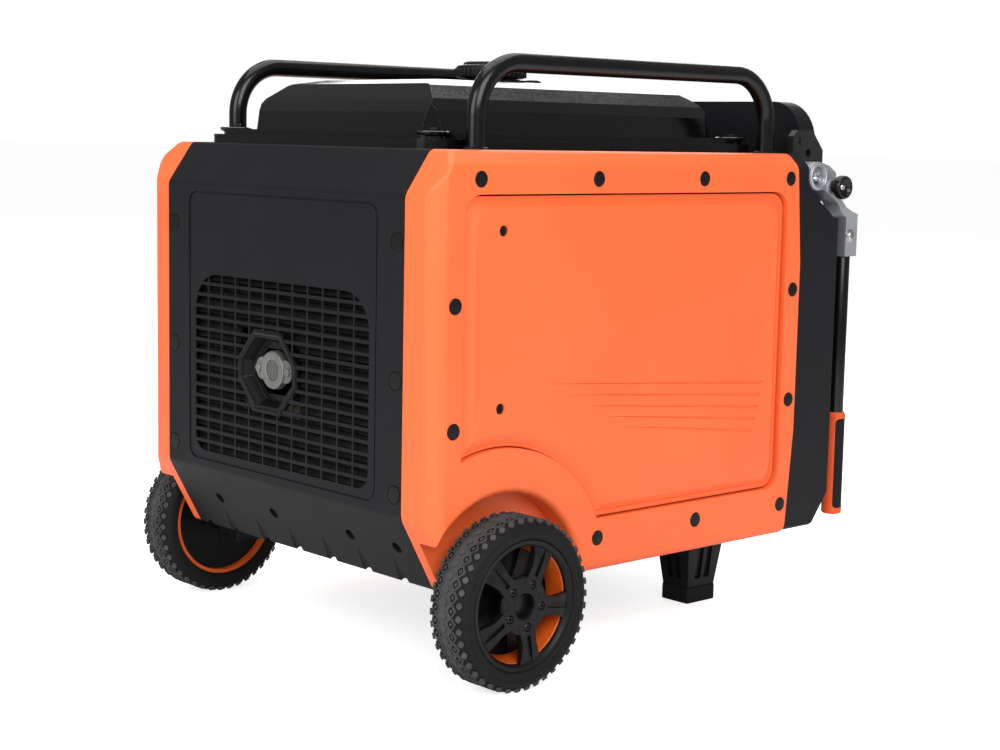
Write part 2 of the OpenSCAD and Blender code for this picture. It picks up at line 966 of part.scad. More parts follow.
outlet_places = [for (y = [-120, -60, 0, 60]) [y, 300]];
twist_y = 140;
start_y = -150;
start_z = 500;
engine_y = -150;
engine_z = 420;
eco_y = -60;
eco_z = 420;
breaker_y = 30;
breaker_z = 420;
stud_y = 190;
stud_z = 215;
button_r = 13;

// Plate that carries the controls, with a hole for each
module control_face() {
  x = face_x;
  color("#1e1e21")
    placed()
      difference() {
        rbox([x, -face_y, face_z0], [x + face_t, face_y, face_z1], 20, "x");
        rbox([x - 1, 20, 470], [x + 9, 150, 545], 6, "x");
        xcyl(start_y, start_z, button_r + fit, x - 1, x + 9);
        xcyl(engine_y, engine_z, 8 + fit, x - 1, x + 9);
        box([x - 1, eco_y - 11.3, eco_z - 15.3], [x + 9, eco_y + 11.3, eco_z + 15.3]);
        box([x - 1, breaker_y - 15.3, breaker_z - 15.3], [x + 9, breaker_y + 15.3, breaker_z + 15.3]);
        for (p = outlet_places)
          xcyl(p[0], p[1], 21, x - 1, x + 9);
        xcyl(twist_y, 300, 31, x - 1, x + 9);
        xcyl(stud_y, stud_z, 4, x - 1, x + 9);
      }
}

// Window of the output meter
module display_window() {
  color("#0b1a24")
    placed()
      rbox([face_x - 6, 20.2, 470.2], [face_x + face_t + 1, 149.8, 544.8], 6, "x");
}

// Push button of the electric starter
module start_button() {
  color("#c6281e")
    placed()
      difference() {
        union() {
          xcyl(start_y, start_z, button_r, face_x - 8, face_x + face_t + 5);
          xcyl(start_y, start_z, button_r + 3, face_x - 11, face_x - 8);
        }
        xcyl(start_y, start_z, button_r - 4, face_x + face_t + 4, face_x + face_t + 6);
      }
}

// Rotary engine switch
module engine_knob() {
  x = face_x + face_t;
  color("#2a2a2e")
    placed() {
      xcyl(engine_y, engine_z, 8, face_x - 10, x + 1);
      xcyl(engine_y, engine_z, 22, x + touch, x + 8);
      rbox([x + 7, engine_y - 5, engine_z - 21], [x + 20, engine_y + 5, engine_z + 21], 4, "x");
    }
}

// Rocker that rolls on a pin behind the face
module rocker(y, z, w, h) {
  x = face_x + face_t;
  difference() {
    intersection() {
      box([face_x - 12, y - w / 2, z - h / 2], [x + 8, y + w / 2, z + h / 2]);
      ycyl(face_x - 2, z, h / 2, y - w / 2, y + w / 2);
    }
    ycyl(x + 16, z, 10.5, y - w, y + w);
  }
}

// Economy-mode rocker switch
module eco_rocker() {
  color("#3a3a3f")
    placed()
      rocker(eco_y, eco_z, 22, 30);
}

// Rocker of the main circuit breaker
module breaker_rocker() {
  color("#3a3a3f")
    placed()
      rocker(breaker_y, breaker_z, 30, 30);
}

// Flat-pin sockets in a row, and one twist-lock socket
module outlets() {
  x = face_x + face_t;
  color("#2f2f33")
    placed() {
      for (p = outlet_places)
        difference() {
          union() {
            xcyl(p[0], p[1], 20.8, x - 30, x + 2);
            rbox([x, p[0] - 25, p[1] - 25], [x + 3, p[0] + 25, p[1] + 25], 6, "x");
          }
          for (dy = [-6.5, 6.5])
            box([x - 20, p[0] + dy - 1.2, p[1] - 2], [x + 9, p[0] + dy + 1.2, p[1] + 8]);
          xcyl(p[0], p[1] - 9, 2.6, x - 20, x + 9);
        }
      difference() {
        union() {
          xcyl(twist_y, 300, 30.8, x - 34, x + 3);
          xcyl(twist_y, 300, 36, x, x + 4);
        }
        xcyl(twist_y, 300, 25, x - 6, x + 9);
        for (a = [0:90:270])
          translate([0, twist_y, 300])
            rotate([a + 20, 0, 0])
              box([x - 30, -4, 13], [x + 9, 4, 15.5]);
      }
    }
}

cover_hinge_z = 300 + 44;

// Sprung flap over the twist-lock socket, with its hinge barrel
module outlet_cover() {
  x = face_x + face_t;
  color("#26262a")
    placed() {
      ycyl(x + 6, cover_hinge_z, 3, twist_y - 20, twist_y + 20);
      rbox([x + 4.5, twist_y - 38, 300 - 38], [x + 9, twist_y + 38, cover_hinge_z], 10, "x");
    }
}

// Grounding stud, threaded into the face
module ground_stud() {
  color("#c9b458")
    placed() {
      xcyl(stud_y, stud_z, 4, face_x - 6, face_x + face_t + 15);
      xcyl(stud_y, stud_z, 3.5, face_x + face_t + 14, face_x + face_t + 24);
      xcyl(stud_y, stud_z, 9, face_x + face_t, face_x + face_t + 2);
    }
}

// Wing nut of the grounding stud
module ground_nut() {
  x = face_x + face_t + 2;
  color("#c9b458")
    placed()
      difference() {
        union() {
          xcyl(stud_y, stud_z, 8, x, x + 8);
          box([x + 2, stud_y - 17, stud_z - 2], [x + 12, stud_y + 17, stud_z + 2]);
        }
        xcyl(stud_y, stud_z, 4, x - 1, x + 20);
      }
}

// ---- tow handles ----
arm_half = 13;            // half thickness of the arm along Y
plate_y0 = shoulder_y + 0.3;
plate_y1 = 260;
pin_r = 5;
plunge_x = 30;            // lock pin from the pivot, handle hanging
plunge_z = -14;
pivot_r = 8;
head_r = 12.5;

// Fixed plate with the pivot hole and the two lock holes
module tow_plate() {
  slab_y(-plate_y1, -plate_y0)
    difference() {
      polygon([[534, 576], [534, 642], [540, 648], [576, 648], [597, 624], [597, 550], [588, 540]]);
      translate([pivot_x, pivot_z])
        circle(r = pivot_r);
      translate([pivot_x + plunge_x, pivot_z + plunge_z])
        circle(r = pin_r + 0.2);
      translate([pivot_x - plunge_z, pivot_z + plunge_x])
        circle(r = pin_r + 0.2);
    }
}

module tow_brackets() {
  color("#141416")
    placed()
      for (s = [false, true])
        mirror_y(s)
          tow_plate();
}

// Shoulder bolts that the tow arms turn on
module pivot_bolts() {
  color("silver")
    placed()
      for (s = [false, true])
        mirror_y(s)
          difference() {
            union() {
              ycyl(pivot_x, pivot_z, pivot_r, -tow_y - 4, -plate_y0);
              ycyl(pivot_x, pivot_z, head_r - 0.5, -tow_y - 9, -tow_y - 4);
            }
            translate([pivot_x, -tow_y - 10, pivot_z])
              rotate([-90, 0, 0])
                cylinder(r = 6, h = 6, $fn = 6);
          }
}

// Cast arm: pivot boss, lock boss, and the clevis that grips the tube
module tow_arm() {
  x0 = tow_x - 11.2;
  x1 = tow_x + arm_heel;
  y0 = -tow_y - arm_half;
  y1 = -tow_y + arm_half;
  difference() {
    union() {
      ycyl(pivot_x, pivot_z, 19, y0, -plate_y1 - touch);
      slab_y(y0, y1)
        polygon([
          [pivot_x - 11, pivot_z - 15.5], [pivot_x + 3, pivot_z + 18.8], [575, 602], [597, 584],
          [606, 560], [x1, 540], [x1, 540 - clevis_h - 4], [x0, 540 - clevis_h - 4], [x0, 532], [606, 540]
        ]);
      ycyl(pivot_x + plunge_x, pivot_z + plunge_z, 11, y0 - 3, -plate_y1 - touch);
    }
    ycyl(pivot_x, pivot_z, pivot_r + fit, -big, 0);
    ycyl(pivot_x, pivot_z, head_r, -big, -tow_y - 4 + fit);
    ycyl(pivot_x + plunge_x, pivot_z + plunge_z, pin_r + fit, -big, 0);
    translate([tow_x, -tow_y, 470])
      cylinder(r = 8, h = 52);
  }
}

module tow_arm_left() {
  color("#b9bdc2")
    placed()
      tow_arm();
}

module tow_arm_right() {
  color("#b9bdc2")
    placed()
      mirror_y(true)
        tow_arm();
}

clevis_z0 = 540 - clevis_h - 4;

// Tube with a spigot that is pressed into the arm
module tow_tube() {
  translate([tow_x, -tow_y, 0]) {
    translate([0, 0, tow_z0 + 6])
      cylinder(r = tow_r, h = clevis_z0 - tow_z0 - 6);
    translate([0, 0, clevis_z0 - 1])
      cylinder(r = 8, h = 41);
  }
}

module tow_tube_left() {
  color("#121214")
    placed()
      tow_tube();
}

module tow_tube_right() {
  color("#121214")
    placed()
      mirror_y(true)
        tow_tube();
}

// Rubber sleeve on the end of the tube
module tow_grip() {
  translate([tow_x, -tow_y, 0])
    difference() {
      translate([0, 0, tow_z0])
        cylinder(r = tow_r + grip_t, h = grip_len);
      translate([0, 0, tow_z0 + 6])
        cylinder(r = tow_r, h = grip_len);
    }
}

module tow_grip_left() {
  color("#ff6a2b")
    placed()
      tow_grip();
}

module tow_grip_right() {
  color("#ff6a2b")
    placed()
      mirror_y(true)
        tow_grip();
}

// Spring pin that locks the arm, with its dished pull knob
module lock_plunger() {
  x = pivot_x + plunge_x;
  z = pivot_z + plunge_z;
  y0 = -tow_y - arm_half - 3;
  difference() {
    union() {
      ycyl(x, z, pin_r, y0 - 4, -plate_y1 - touch);
      ycyl(x, z, 9, y0 - 12, y0 - touch);
      ycyl(x, z, 16, y0 - 20, y0 - 11);
    }
    translate([x, y0 - 21, z])
      rotate([-90, 0, 0])
        cylinder(r1 = 14, r2 = 4, h = 8);
  }
}

module lock_plunger_left() {
  color("#17171a")
    placed()
      lock_plunger();
}

module lock_plunger_right() {
  color("#17171a")
    placed()
      mirror_y(true)
        lock_plunger();
}

// ---- wheels ----
hub_r = 17;
dish = 9;                 // how far the rim's disc lies behind its rim

// A ring of revolution about the axle: points are [radius, distance from the middle]
module turned(pts) {
  translate([0, 0, wheel_r])
    rotate([90, 0, 0])
      rotate_extrude($fn = 96)
        polygon(pts);
}

module tyre() {
  y0 = tyre_in;
  y1 = wheel_y;
  turned([
    [rim_r, y0 + 4], [rim_r + 7, y0], [wheel_r - 8, y0 + 1], [wheel_r - 1.5, y0 + 8], [wheel_r, y0 + 14],
    [wheel_r, y1 - 14], [wheel_r - 1.5, y1 - 8], [wheel_r - 8, y1 - 1], [rim_r + 7, y1], [rim_r, y1 - 4]
  ]);
}

module tyre_left() {
  color("#232325")
    placed()
      tyre();
}

module tyre_right() {
  color("#232325")
    placed()
      mirror_y(true)
        tyre();
}

// Rim: barrel, deep disc and hub tube
module rim() {
  y0 = tyre_in + 5;
  y1 = wheel_y - 12.3;
  turned([
    [axle_r + fit, y0 - 4], [hub_r, y0 - 4], [hub_r, y0 + 14], [rim_r - 5, y0 + 14], [rim_r - 5, y0], [rim_r, y0],
    [rim_r, y1], [rim_r - 5, y1], [rim_r - 12, y0 + 20], [hub_r, y0 + 20], [hub_r, y1 - 13], [axle_r + fit, y1 - 13]
  ]);
}

module rim_left() {
  color("#f26522")
    placed()
      rim();
}

module rim_right() {
  color("#f26522")
    placed()
      mirror_y(true)
        rim();
}

// Five-spoke cover over the rim
module hub_cover() {
  y1 = wheel_y - 3;
  y0 = wheel_y - 12;
  difference() {
    union() {
      turned([[rim_r - 5.5, y0], [rim_r - 0.5, y0 + 7.5], [rim_r - 0.5, y1], [rim_r - 9, y1 - 2], [rim_r - 9, y0]]);
      turned([[20, y0 - 6], [30, y0 - 6], [30, y1], [20, y1]]);
      for (i = [0:4])
        translate([0, 0, wheel_r])
          rotate([0, i * 72 + 30, 0])
            difference() {
              box([-11, -y1 + 1, 25], [11, -y0, rim_r - 7]);
              box([-3, -y1, 36], [3, -y1 + 4, rim_r - 9]);
            }
    }
    for (i = [0:4])
      translate([0, 0, wheel_r])
        rotate([0, i * 72 + 66, 0])
          translate([0, -y1 - 1, 26])
            rotate([-90, 0, 0])
              cylinder(r = 3.2, h = 5);
  }
}

module hub_cover_left() {
  color("#232327")
    placed()
      hub_cover();
}

module hub_cover_right() {
  color("#232327")
    placed()
      mirror_y(true)
        hub_cover();
}

base_tray();
axle();
axle_nuts();
foot_legs();
foot_pads();
engine_block();
cylinder_head();
muffler();
air_filter();
carburettor();
stator();
rotor();
cooling_fan();
inverter_module();
battery();
grille_panel();
exhaust_outlet();
side_panel_left();
side_panel_right();
panel_plugs();
service_door();
door_screws();
door_hinge_bar();
door_hinge_pins();
top_cover();
cover_bolts();
fuel_tank();
fuel_cap();
vent_lever();
lift_handle_left();
lift_handle_right();
control_shell();
control_face();
display_window();
start_button();
engine_knob();
eco_rocker();
breaker_rocker();
outlets();
outlet_cover();
ground_stud();
ground_nut();
tow_brackets();
pivot_bolts();
tow_arm_left();
tow_arm_right();
tow_tube_left();
tow_tube_right();
tow_grip_left();
tow_grip_right();
lock_plunger_left();
lock_plunger_right();
tyre_left();
tyre_right();
rim_left();
rim_right();
hub_cover_left();
hub_cover_right();
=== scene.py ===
import math
import bpy
import bmesh
from mathutils import Matrix, Vector
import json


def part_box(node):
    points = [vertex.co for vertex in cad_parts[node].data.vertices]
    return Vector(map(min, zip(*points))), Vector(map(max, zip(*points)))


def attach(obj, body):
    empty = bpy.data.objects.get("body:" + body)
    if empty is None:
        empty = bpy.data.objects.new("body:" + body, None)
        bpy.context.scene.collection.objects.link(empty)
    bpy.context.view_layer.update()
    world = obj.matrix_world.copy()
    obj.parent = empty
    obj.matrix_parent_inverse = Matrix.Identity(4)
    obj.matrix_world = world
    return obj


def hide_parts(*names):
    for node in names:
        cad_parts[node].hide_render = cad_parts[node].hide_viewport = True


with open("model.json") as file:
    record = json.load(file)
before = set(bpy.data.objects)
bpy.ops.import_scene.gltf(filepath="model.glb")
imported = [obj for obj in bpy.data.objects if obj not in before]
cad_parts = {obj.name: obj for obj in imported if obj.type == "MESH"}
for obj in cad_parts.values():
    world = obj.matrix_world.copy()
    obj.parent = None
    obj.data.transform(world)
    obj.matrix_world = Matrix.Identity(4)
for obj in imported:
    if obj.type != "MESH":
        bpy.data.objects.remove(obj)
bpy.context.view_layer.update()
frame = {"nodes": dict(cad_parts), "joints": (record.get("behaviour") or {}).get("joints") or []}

mm = 0.001
alongX, alongY, alongZ = (1, 0, 0), (0, 1, 0), (0, 0, 1)
sides = {"Left": -1, "Right": 1}   # the left side is towards -Y
bodyRoot = "generator"


def jointPlace(name):
    return next(Vector(joint["pos_m"]) for joint in frame["joints"] if joint["name"] == name)


# Lengths are in millimetres, with x counted from the wheel axle
wheelMid = jointPlace("wheel_left_spin")
axleX = wheelMid.x


def corners(name):
    shift = Vector((axleX, 0, 0))
    return [(Vector(corner) - shift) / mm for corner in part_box(name)]


panelLow, panelHigh = corners("side_panel_left")
grilleLow, grilleHigh = corners("grille_panel")
controlLow, controlHigh = corners("control_shell")
doorLow, doorHigh = corners("service_door")
coverLow, coverHigh = corners("top_cover")
tankLow, tankHigh = corners("fuel_tank")
tyreLow, tyreHigh = corners("tyre_left")
axleZ = wheelMid.z / mm

form = {
    "endX": grilleLow.x,           # face of the grille end
    "sideY": -panelLow.y,          # half width over the main side faces
    "endY": grilleHigh.y + 0.6,    # half width of the black end
    "z0": panelLow.z,
    "z1": panelHigh.z,
    "bandIn": 3,                   # slope of the band on the end face
    "cornerIn": 15,
    "topBevel": 17,
    "bottomBevel": 8,
    "slopeTop": 36,
    "slopeDrop": 51,
    "slopeBottom": 50,
    "slopeRise": 90,
    "wall": 3,
    "splitMid": panelHigh.x,
    "splitEnd": panelHigh.x - 12,
    "creaseRound": 7,              # soft moulded radii of the side panels
}


def linked(name, data):
    obj = bpy.data.objects.new(name, data)
    bpy.context.scene.collection.objects.link(obj)
    return obj


# A bmesh in millimetres becomes an object in metres, in place
def newObject(name, bm, material=None, smoothAngle=35):
    bmesh.ops.remove_doubles(bm, verts=bm.verts, dist=0.005)
    bmesh.ops.scale(bm, vec=(mm, mm, mm), verts=bm.verts)
    bmesh.ops.translate(bm, vec=(axleX, 0, 0), verts=bm.verts)
    mesh = bpy.data.meshes.new(name)
    bm.to_mesh(mesh)
    bm.free()
    obj = linked(name, mesh)
    if material:
        mesh.materials.append(material)
    if smoothAngle:
        smoothFaces(obj, smoothAngle, False)
    return obj


def bevelEdges(bm, edges, width, segments=3):
    bmesh.ops.bevel(bm, geom=edges, offset=width, offset_type="OFFSET", affect="EDGES",
                    segments=segments, profile=0.5, material=-1, clamp_overlap=True)


def applyModifiers(obj):
    depsgraph = bpy.context.evaluated_depsgraph_get()
    mesh = bpy.data.meshes.new_from_object(obj.evaluated_get(depsgraph))
    old = obj.data
    obj.modifiers.clear()
    obj.data = mesh
    bpy.data.meshes.remove(old)
    return obj


# Bevels the edges that are sharper than angle, width in millimetres
def softEdges(obj, width, segments=3, angle=32):
    mod = obj.modifiers.new("edges", "BEVEL")
    mod.width = width * mm
    mod.segments = segments
    mod.limit_method = "ANGLE"
    mod.angle_limit = math.radians(angle)
    mod.miter_outer = "MITER_ARC"
    return applyModifiers(obj)


def cut(obj, cutters, operation="DIFFERENCE"):
    for cutter in cutters:
        mod = obj.modifiers.new("cut", "BOOLEAN")
        mod.operation = operation
        mod.solver = "EXACT"
        mod.object = cutter
    applyModifiers(obj)
    for cutter in cutters:
        mesh = cutter.data
        bpy.data.objects.remove(cutter)
        bpy.data.meshes.remove(mesh)
    return obj


# Smooth shading that keeps flat faces flat up to their bevels
def smoothFaces(obj, smoothAngle=35, weighted=True):
    obj.data.shade_smooth()
    obj.data.set_sharp_from_angle(angle=math.radians(smoothAngle))
    if weighted:
        mod = obj.modifiers.new("normals", "WEIGHTED_NORMAL")
        mod.keep_sharp = True
        mod.weight = 100
        applyModifiers(obj)
    return obj


# Cleans a mesh that was cut, rounds its sharp edges and shades it
def finishEdges(obj, width, segments=3, angle=32, smoothAngle=35):
    bm = bmesh.new()
    bm.from_mesh(obj.data)
    bmesh.ops.remove_doubles(bm, verts=bm.verts, dist=0.00002)
    bmesh.ops.dissolve_degenerate(bm, dist=0.00002, edges=bm.edges)
    bmesh.ops.dissolve_limit(bm, angle_limit=math.radians(0.8), verts=bm.verts, edges=bm.edges)
    bm.to_mesh(obj.data)
    bm.free()
    softEdges(obj, width, segments, angle)
    return smoothFaces(obj, smoothAngle)


def finished(obj, name, material, width, segments=3, angle=32, smoothAngle=35):
    obj.name = name
    obj.data.materials.clear()
    obj.data.materials.append(material)
    return finishEdges(obj, width, segments, angle, smoothAngle)


# The same stretch of Y on the left (s = -1) or the right (s = 1)
def span(s, near, far):
    return sorted((s * near, s * far))


def arcPoints(cx, cy, r, a0, a1, steps):
    return [(cx + r * math.cos(math.radians(a0 + (a1 - a0) * i / steps)),
             cy + r * math.sin(math.radians(a0 + (a1 - a0) * i / steps))) for i in range(steps + 1)]


def roundRect(w, h, r, cx=0, cy=0, steps=6):
    pts = []
    for k, (sx, sy) in enumerate(((1, 1), (-1, 1), (-1, -1), (1, -1))):
        pts += arcPoints(cx + sx * (w / 2 - r), cy + sy * (h / 2 - r), r, 90 * k, 90 * k + 90, steps)
    return pts


# The vertices that an operator gave back
def vertsOf(out):
    return [g for g in out["geom"] if isinstance(g, bmesh.types.BMVert)]


# A closed block over an outline; plane "xz" runs along Y, "yz" along X, "xy" along Z
def prism(outline, plane, low, high, bm=None):
    own = bm or bmesh.new()
    place = {
        "xz": lambda a, b: (a, low, b),
        "yz": lambda a, b: (low, a, b),
        "xy": lambda a, b: (a, b, low),
    }[plane]
    along = {"xz": Vector(alongY), "yz": Vector(alongX), "xy": Vector(alongZ)}[plane]
    face = own.faces.new([own.verts.new(place(a, b)) for a, b in outline])
    out = bmesh.ops.extrude_face_region(own, geom=[face])
    bmesh.ops.translate(own, verts=vertsOf(out), vec=along * (high - low))
    bmesh.ops.recalc_face_normals(own, faces=own.faces)
    return own


def prismObject(outline, plane, low, high, name="cutter", material=None):
    return newObject(name, prism(outline, plane, low, high), material, 0)


def cylinderInto(bm, centre, axis, radius, length, segments=48, radius2=None):
    turn = Vector(alongZ).rotation_difference(Vector(axis)).to_matrix().to_4x4()
    return bmesh.ops.create_cone(bm, cap_ends=True, segments=segments, radius1=radius,
                                 radius2=radius if radius2 is None else radius2, depth=length,
                                 matrix=Matrix.Translation(centre) @ turn)["verts"]


def cylinderObject(centre, axis, radius, length, segments=64):
    bm = bmesh.new()
    cylinderInto(bm, centre, axis, radius, length, segments)
    return newObject("cutter", bm, None, 0)


def boxInto(bm, low, high):
    low, high = Vector(low), Vector(high)
    place = Matrix.Translation((low + high) / 2) @ Matrix.Diagonal((high - low).to_4d())
    return bmesh.ops.create_cube(bm, size=1, matrix=place)["verts"]


def boxObject(low, high):
    bm = bmesh.new()
    boxInto(bm, low, high)
    return newObject("cutter", bm, None, 0)


# A profile of (radius, distance along axis) turned round an axis through centre
def lathe(bm, profile, centre, axis, segments=64):
    own = bmesh.new()
    verts = [own.verts.new((r, 0, z)) for r, z in profile]
    edges = [own.edges.new((verts[i - 1], verts[i])) for i in range(len(verts))]
    bmesh.ops.spin(own, geom=verts + edges, cent=(0, 0, 0), axis=alongZ, angle=2 * math.pi,
                   steps=segments, use_merge=True, use_duplicate=False)
    bmesh.ops.remove_doubles(own, verts=own.verts, dist=0.002)
    bmesh.ops.recalc_face_normals(own, faces=own.faces)
    turn = Vector(alongZ).rotation_difference(Vector(axis)).to_matrix().to_4x4()
    bmesh.ops.transform(own, matrix=Matrix.Translation(centre) @ turn, verts=own.verts)
    return join(bm, own)


# The faces of one mesh added to another
def join(bm, own):
    carried = bpy.data.meshes.new("carried")
    own.to_mesh(carried)
    own.free()
    bm.from_mesh(carried)
    bpy.data.meshes.remove(carried)
    return bm


def place(obj, body, slotName, *replaced):
    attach(obj, body)
    if replaced:
        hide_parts(*replaced)
    return obj


def mirrored(obj, name):
    # the same piece on the +Y side
    bm = bmesh.new()
    bm.from_mesh(obj.data)
    bmesh.ops.scale(bm, vec=(1, -1, 1), verts=bm.verts)
    bmesh.ops.reverse_faces(bm, faces=bm.faces)
    mesh = bpy.data.meshes.new(name)
    bm.to_mesh(mesh)
    bm.free()
    for slot in obj.data.materials:
        mesh.materials.append(slot)
    twin = linked(name, mesh)
    if "custom_normal" in mesh.attributes:
        mesh.attributes.remove(mesh.attributes["custom_normal"])
    return smoothFaces(twin)


# Several finished objects made one, without a boolean
def merged(pieces, name, material, smoothAngle=35):
    bm = bmesh.new()
    for piece in pieces:
        bm.from_mesh(piece.data)
        bpy.data.objects.remove(piece)
    mesh = bpy.data.meshes.new(name)
    bm.to_mesh(mesh)
    bm.free()
    mesh.materials.append(material)
    return smoothFaces(linked(name, mesh), smoothAngle, False)


# A node output with arithmetic, so that sums read as sums
class Field:
    def __init__(self, finish, socket):
        self.finish = finish
        self.socket = socket

    def math(self, operation, other, swap=False):
        pair = (other, self) if swap else (self, other)
        return self.finish.node("ShaderNodeMath", {"operation": operation}, *pair)

    def __add__(self, other):
        return self.math("ADD", other)

    def __radd__(self, other):
        return self.math("ADD", other, True)

    def __sub__(self, other):
        return self.math("SUBTRACT", other)

    def __rsub__(self, other):
        return self.math("SUBTRACT", other, True)

    def __mul__(self, other):
        return self.math("MULTIPLY", other)

    def __rmul__(self, other):
        return self.math("MULTIPLY", other, True)


# One node material and its shader
class Finish:
    def __init__(self, name):
        self.material = bpy.data.materials.new(name)
        self.material.use_nodes = True
        self.tree = self.material.node_tree
        self.shader = self.tree.nodes["Principled BSDF"]

    def put(self, socket, value):
        if isinstance(value, Field):
            self.tree.links.new(value.socket, socket)
        else:
            socket.default_value = value

    def node(self, kind, settings, *values, output=0, **named):
        made = self.tree.nodes.new(kind)
        for key, value in settings.items():
            setattr(made, key, value)
        for i, value in enumerate(values):
            self.put(made.inputs[i], value)
        for key, value in named.items():
            self.put(made.inputs[key.replace("_", " ")], value)
        return Field(self, made.outputs[output])

    def noise(self, scale, detail=3, roughness=0.5, stretch=(1, 1, 1)):
        spot = self.node("ShaderNodeTexCoord", {}, output="Object")
        spot = self.node("ShaderNodeMapping", {}, Vector=spot, Scale=stretch)
        return self.node("ShaderNodeTexNoise", {}, Vector=spot, Scale=scale, Detail=detail,
                         Roughness=roughness)

    def ramp(self, value, low, high, a=0, b=1):
        return self.node("ShaderNodeMapRange", {}, Value=value, From_Min=low, From_Max=high,
                         To_Min=a, To_Max=b)

    def mix(self, factor, a, b):
        made = self.tree.nodes.new("ShaderNodeMix")
        made.data_type = "RGBA"
        for index, value in ((0, factor), (6, a), (7, b)):
            self.put(made.inputs[index], value)
        return Field(self, made.outputs[2])

    # 0 on flats, towards 1 on rounded edges
    def edgeMask(self, radius=0.0015):
        rounded = self.node("ShaderNodeBevel", {"samples": 6}, radius)
        flat = self.node("ShaderNodeNewGeometry", {}, output="Normal")
        made = self.node("ShaderNodeVectorMath", {"operation": "DOT_PRODUCT"}, rounded, flat,
                         output="Value")
        return self.ramp(made, 0.995, 0.9)

    def bump(self, height, strength, distance=0.0003):
        return self.node("ShaderNodeBump", {}, Strength=strength, Distance=distance, Height=height)

    def set(self, **values):
        for key, value in values.items():
            self.put(self.shader.inputs[key.replace("_", " ")], value)
        return self.material


def mouldedPlastic(name, look):
    # grained or smooth moulded plastic: faint mottling, satin grain, rubbed spots
    f = Finish(name)
    mottle = f.noise(look["mottleScale"], 4, 0.6)
    tone = f.mix(f.ramp(mottle, 0.3, 0.7), look["dark"], look["light"])
    grain = f.noise(look["grainScale"], 2, 0.7)
    rubbed = f.ramp(f.noise(9, 5, 0.65), 0.52, 0.72)
    roughness = f.ramp(grain, 0.3, 0.7, look["roughness"] - 0.05, look["roughness"] + 0.06)
    return f.set(Base_Color=tone, Roughness=roughness + rubbed * look["rubbed"],
                 Specular_IOR_Level=look["specular"],
                 Normal=f.bump(grain, look["bump"]))


def sRgb(r, g, b):
    return tuple(((c / 255 + 0.055) / 1.055) ** 2.4 if c > 10 else c / 255 / 12.92 for c in (r, g, b)) + (1,)


orangePanel = mouldedPlastic("orangePanel", {
    "dark": sRgb(252, 108, 54), "light": sRgb(255, 114, 60), "mottleScale": 6, "grainScale": 900,
    "roughness": 0.42, "rubbed": 0.05, "specular": 0.4, "bump": 0.12})
blackPanel = mouldedPlastic("blackPanel", {
    "dark": sRgb(21, 21, 24), "light": sRgb(25, 25, 29), "mottleScale": 7, "grainScale": 800,
    "roughness": 0.5, "rubbed": 0.06, "specular": 0.18, "bump": 0.2})
darkPlastic = mouldedPlastic("darkPlastic", {
    "dark": sRgb(13, 13, 15), "light": sRgb(17, 17, 20), "mottleScale": 12, "grainScale": 900,
    "roughness": 0.38, "rubbed": 0.06, "specular": 0.22, "bump": 0.12})
glossBlack = mouldedPlastic("glossBlack", {
    "dark": sRgb(6, 6, 7), "light": sRgb(8, 8, 9), "mottleScale": 8, "grainScale": 240,
    "roughness": 0.14, "rubbed": 0.06, "specular": 0.45, "bump": 0.04})
coverBlack = mouldedPlastic("coverBlack", {
    "dark": sRgb(7, 7, 8), "light": sRgb(10, 10, 11), "mottleScale": 8, "grainScale": 300,
    "roughness": 0.2, "rubbed": 0.07, "specular": 0.35, "bump": 0.06})
tubeBlack = mouldedPlastic("tubeBlack", {
    "dark": sRgb(7, 7, 8), "light": sRgb(10, 10, 11), "mottleScale": 20, "grainScale": 500,
    "roughness": 0.2, "rubbed": 0.05, "specular": 0.4, "bump": 0.08})
rimOrange = mouldedPlastic("rimOrange", {
    "dark": sRgb(222, 92, 26), "light": sRgb(232, 98, 30), "mottleScale": 10, "grainScale": 500,
    "roughness": 0.34, "rubbed": 0.05, "specular": 0.5, "bump": 0.06})
gripOrange = mouldedPlastic("gripOrange", {
    "dark": sRgb(226, 84, 34), "light": sRgb(236, 90, 38), "mottleScale": 14, "grainScale": 1200,
    "roughness": 0.55, "rubbed": 0.05, "specular": 0.35, "bump": 0.18})


def rubber(name, dark, light, roughness=0.72):
    f = Finish(name)
    dust = f.ramp(f.noise(26, 6, 0.7), 0.42, 0.72)
    tone = f.mix(dust, dark, light)
    grain = f.noise(1500, 2, 0.8)
    return f.set(Base_Color=tone, Roughness=f.ramp(dust, 0, 1, roughness, roughness + 0.12),
                 Specular_IOR_Level=0.2, Normal=f.bump(grain, 0.25))


tyreRubber = rubber("tyreRubber", sRgb(19, 19, 21), sRgb(24, 24, 26), 0.6)
treadRubber = rubber("treadRubber", sRgb(66, 66, 67), sRgb(84, 84, 84), 0.8)
padRubber = rubber("padRubber", sRgb(24, 24, 26), sRgb(31, 31, 33))


def metal(name, look):
    f = Finish(name)
    streak = f.noise(look["streakScale"], 5, 0.6, look["stretch"])
    cloud = f.ramp(f.noise(14, 4, 0.6), 0.35, 0.7)
    tone = f.mix(cloud, look["dark"], look["light"])
    return f.set(Base_Color=tone, Metallic=look["metallic"],
                 Roughness=f.ramp(streak, 0.3, 0.7, look["roughness"] - 0.07, look["roughness"] + 0.1),
                 Normal=f.bump(streak, look["bump"], 0.0002))


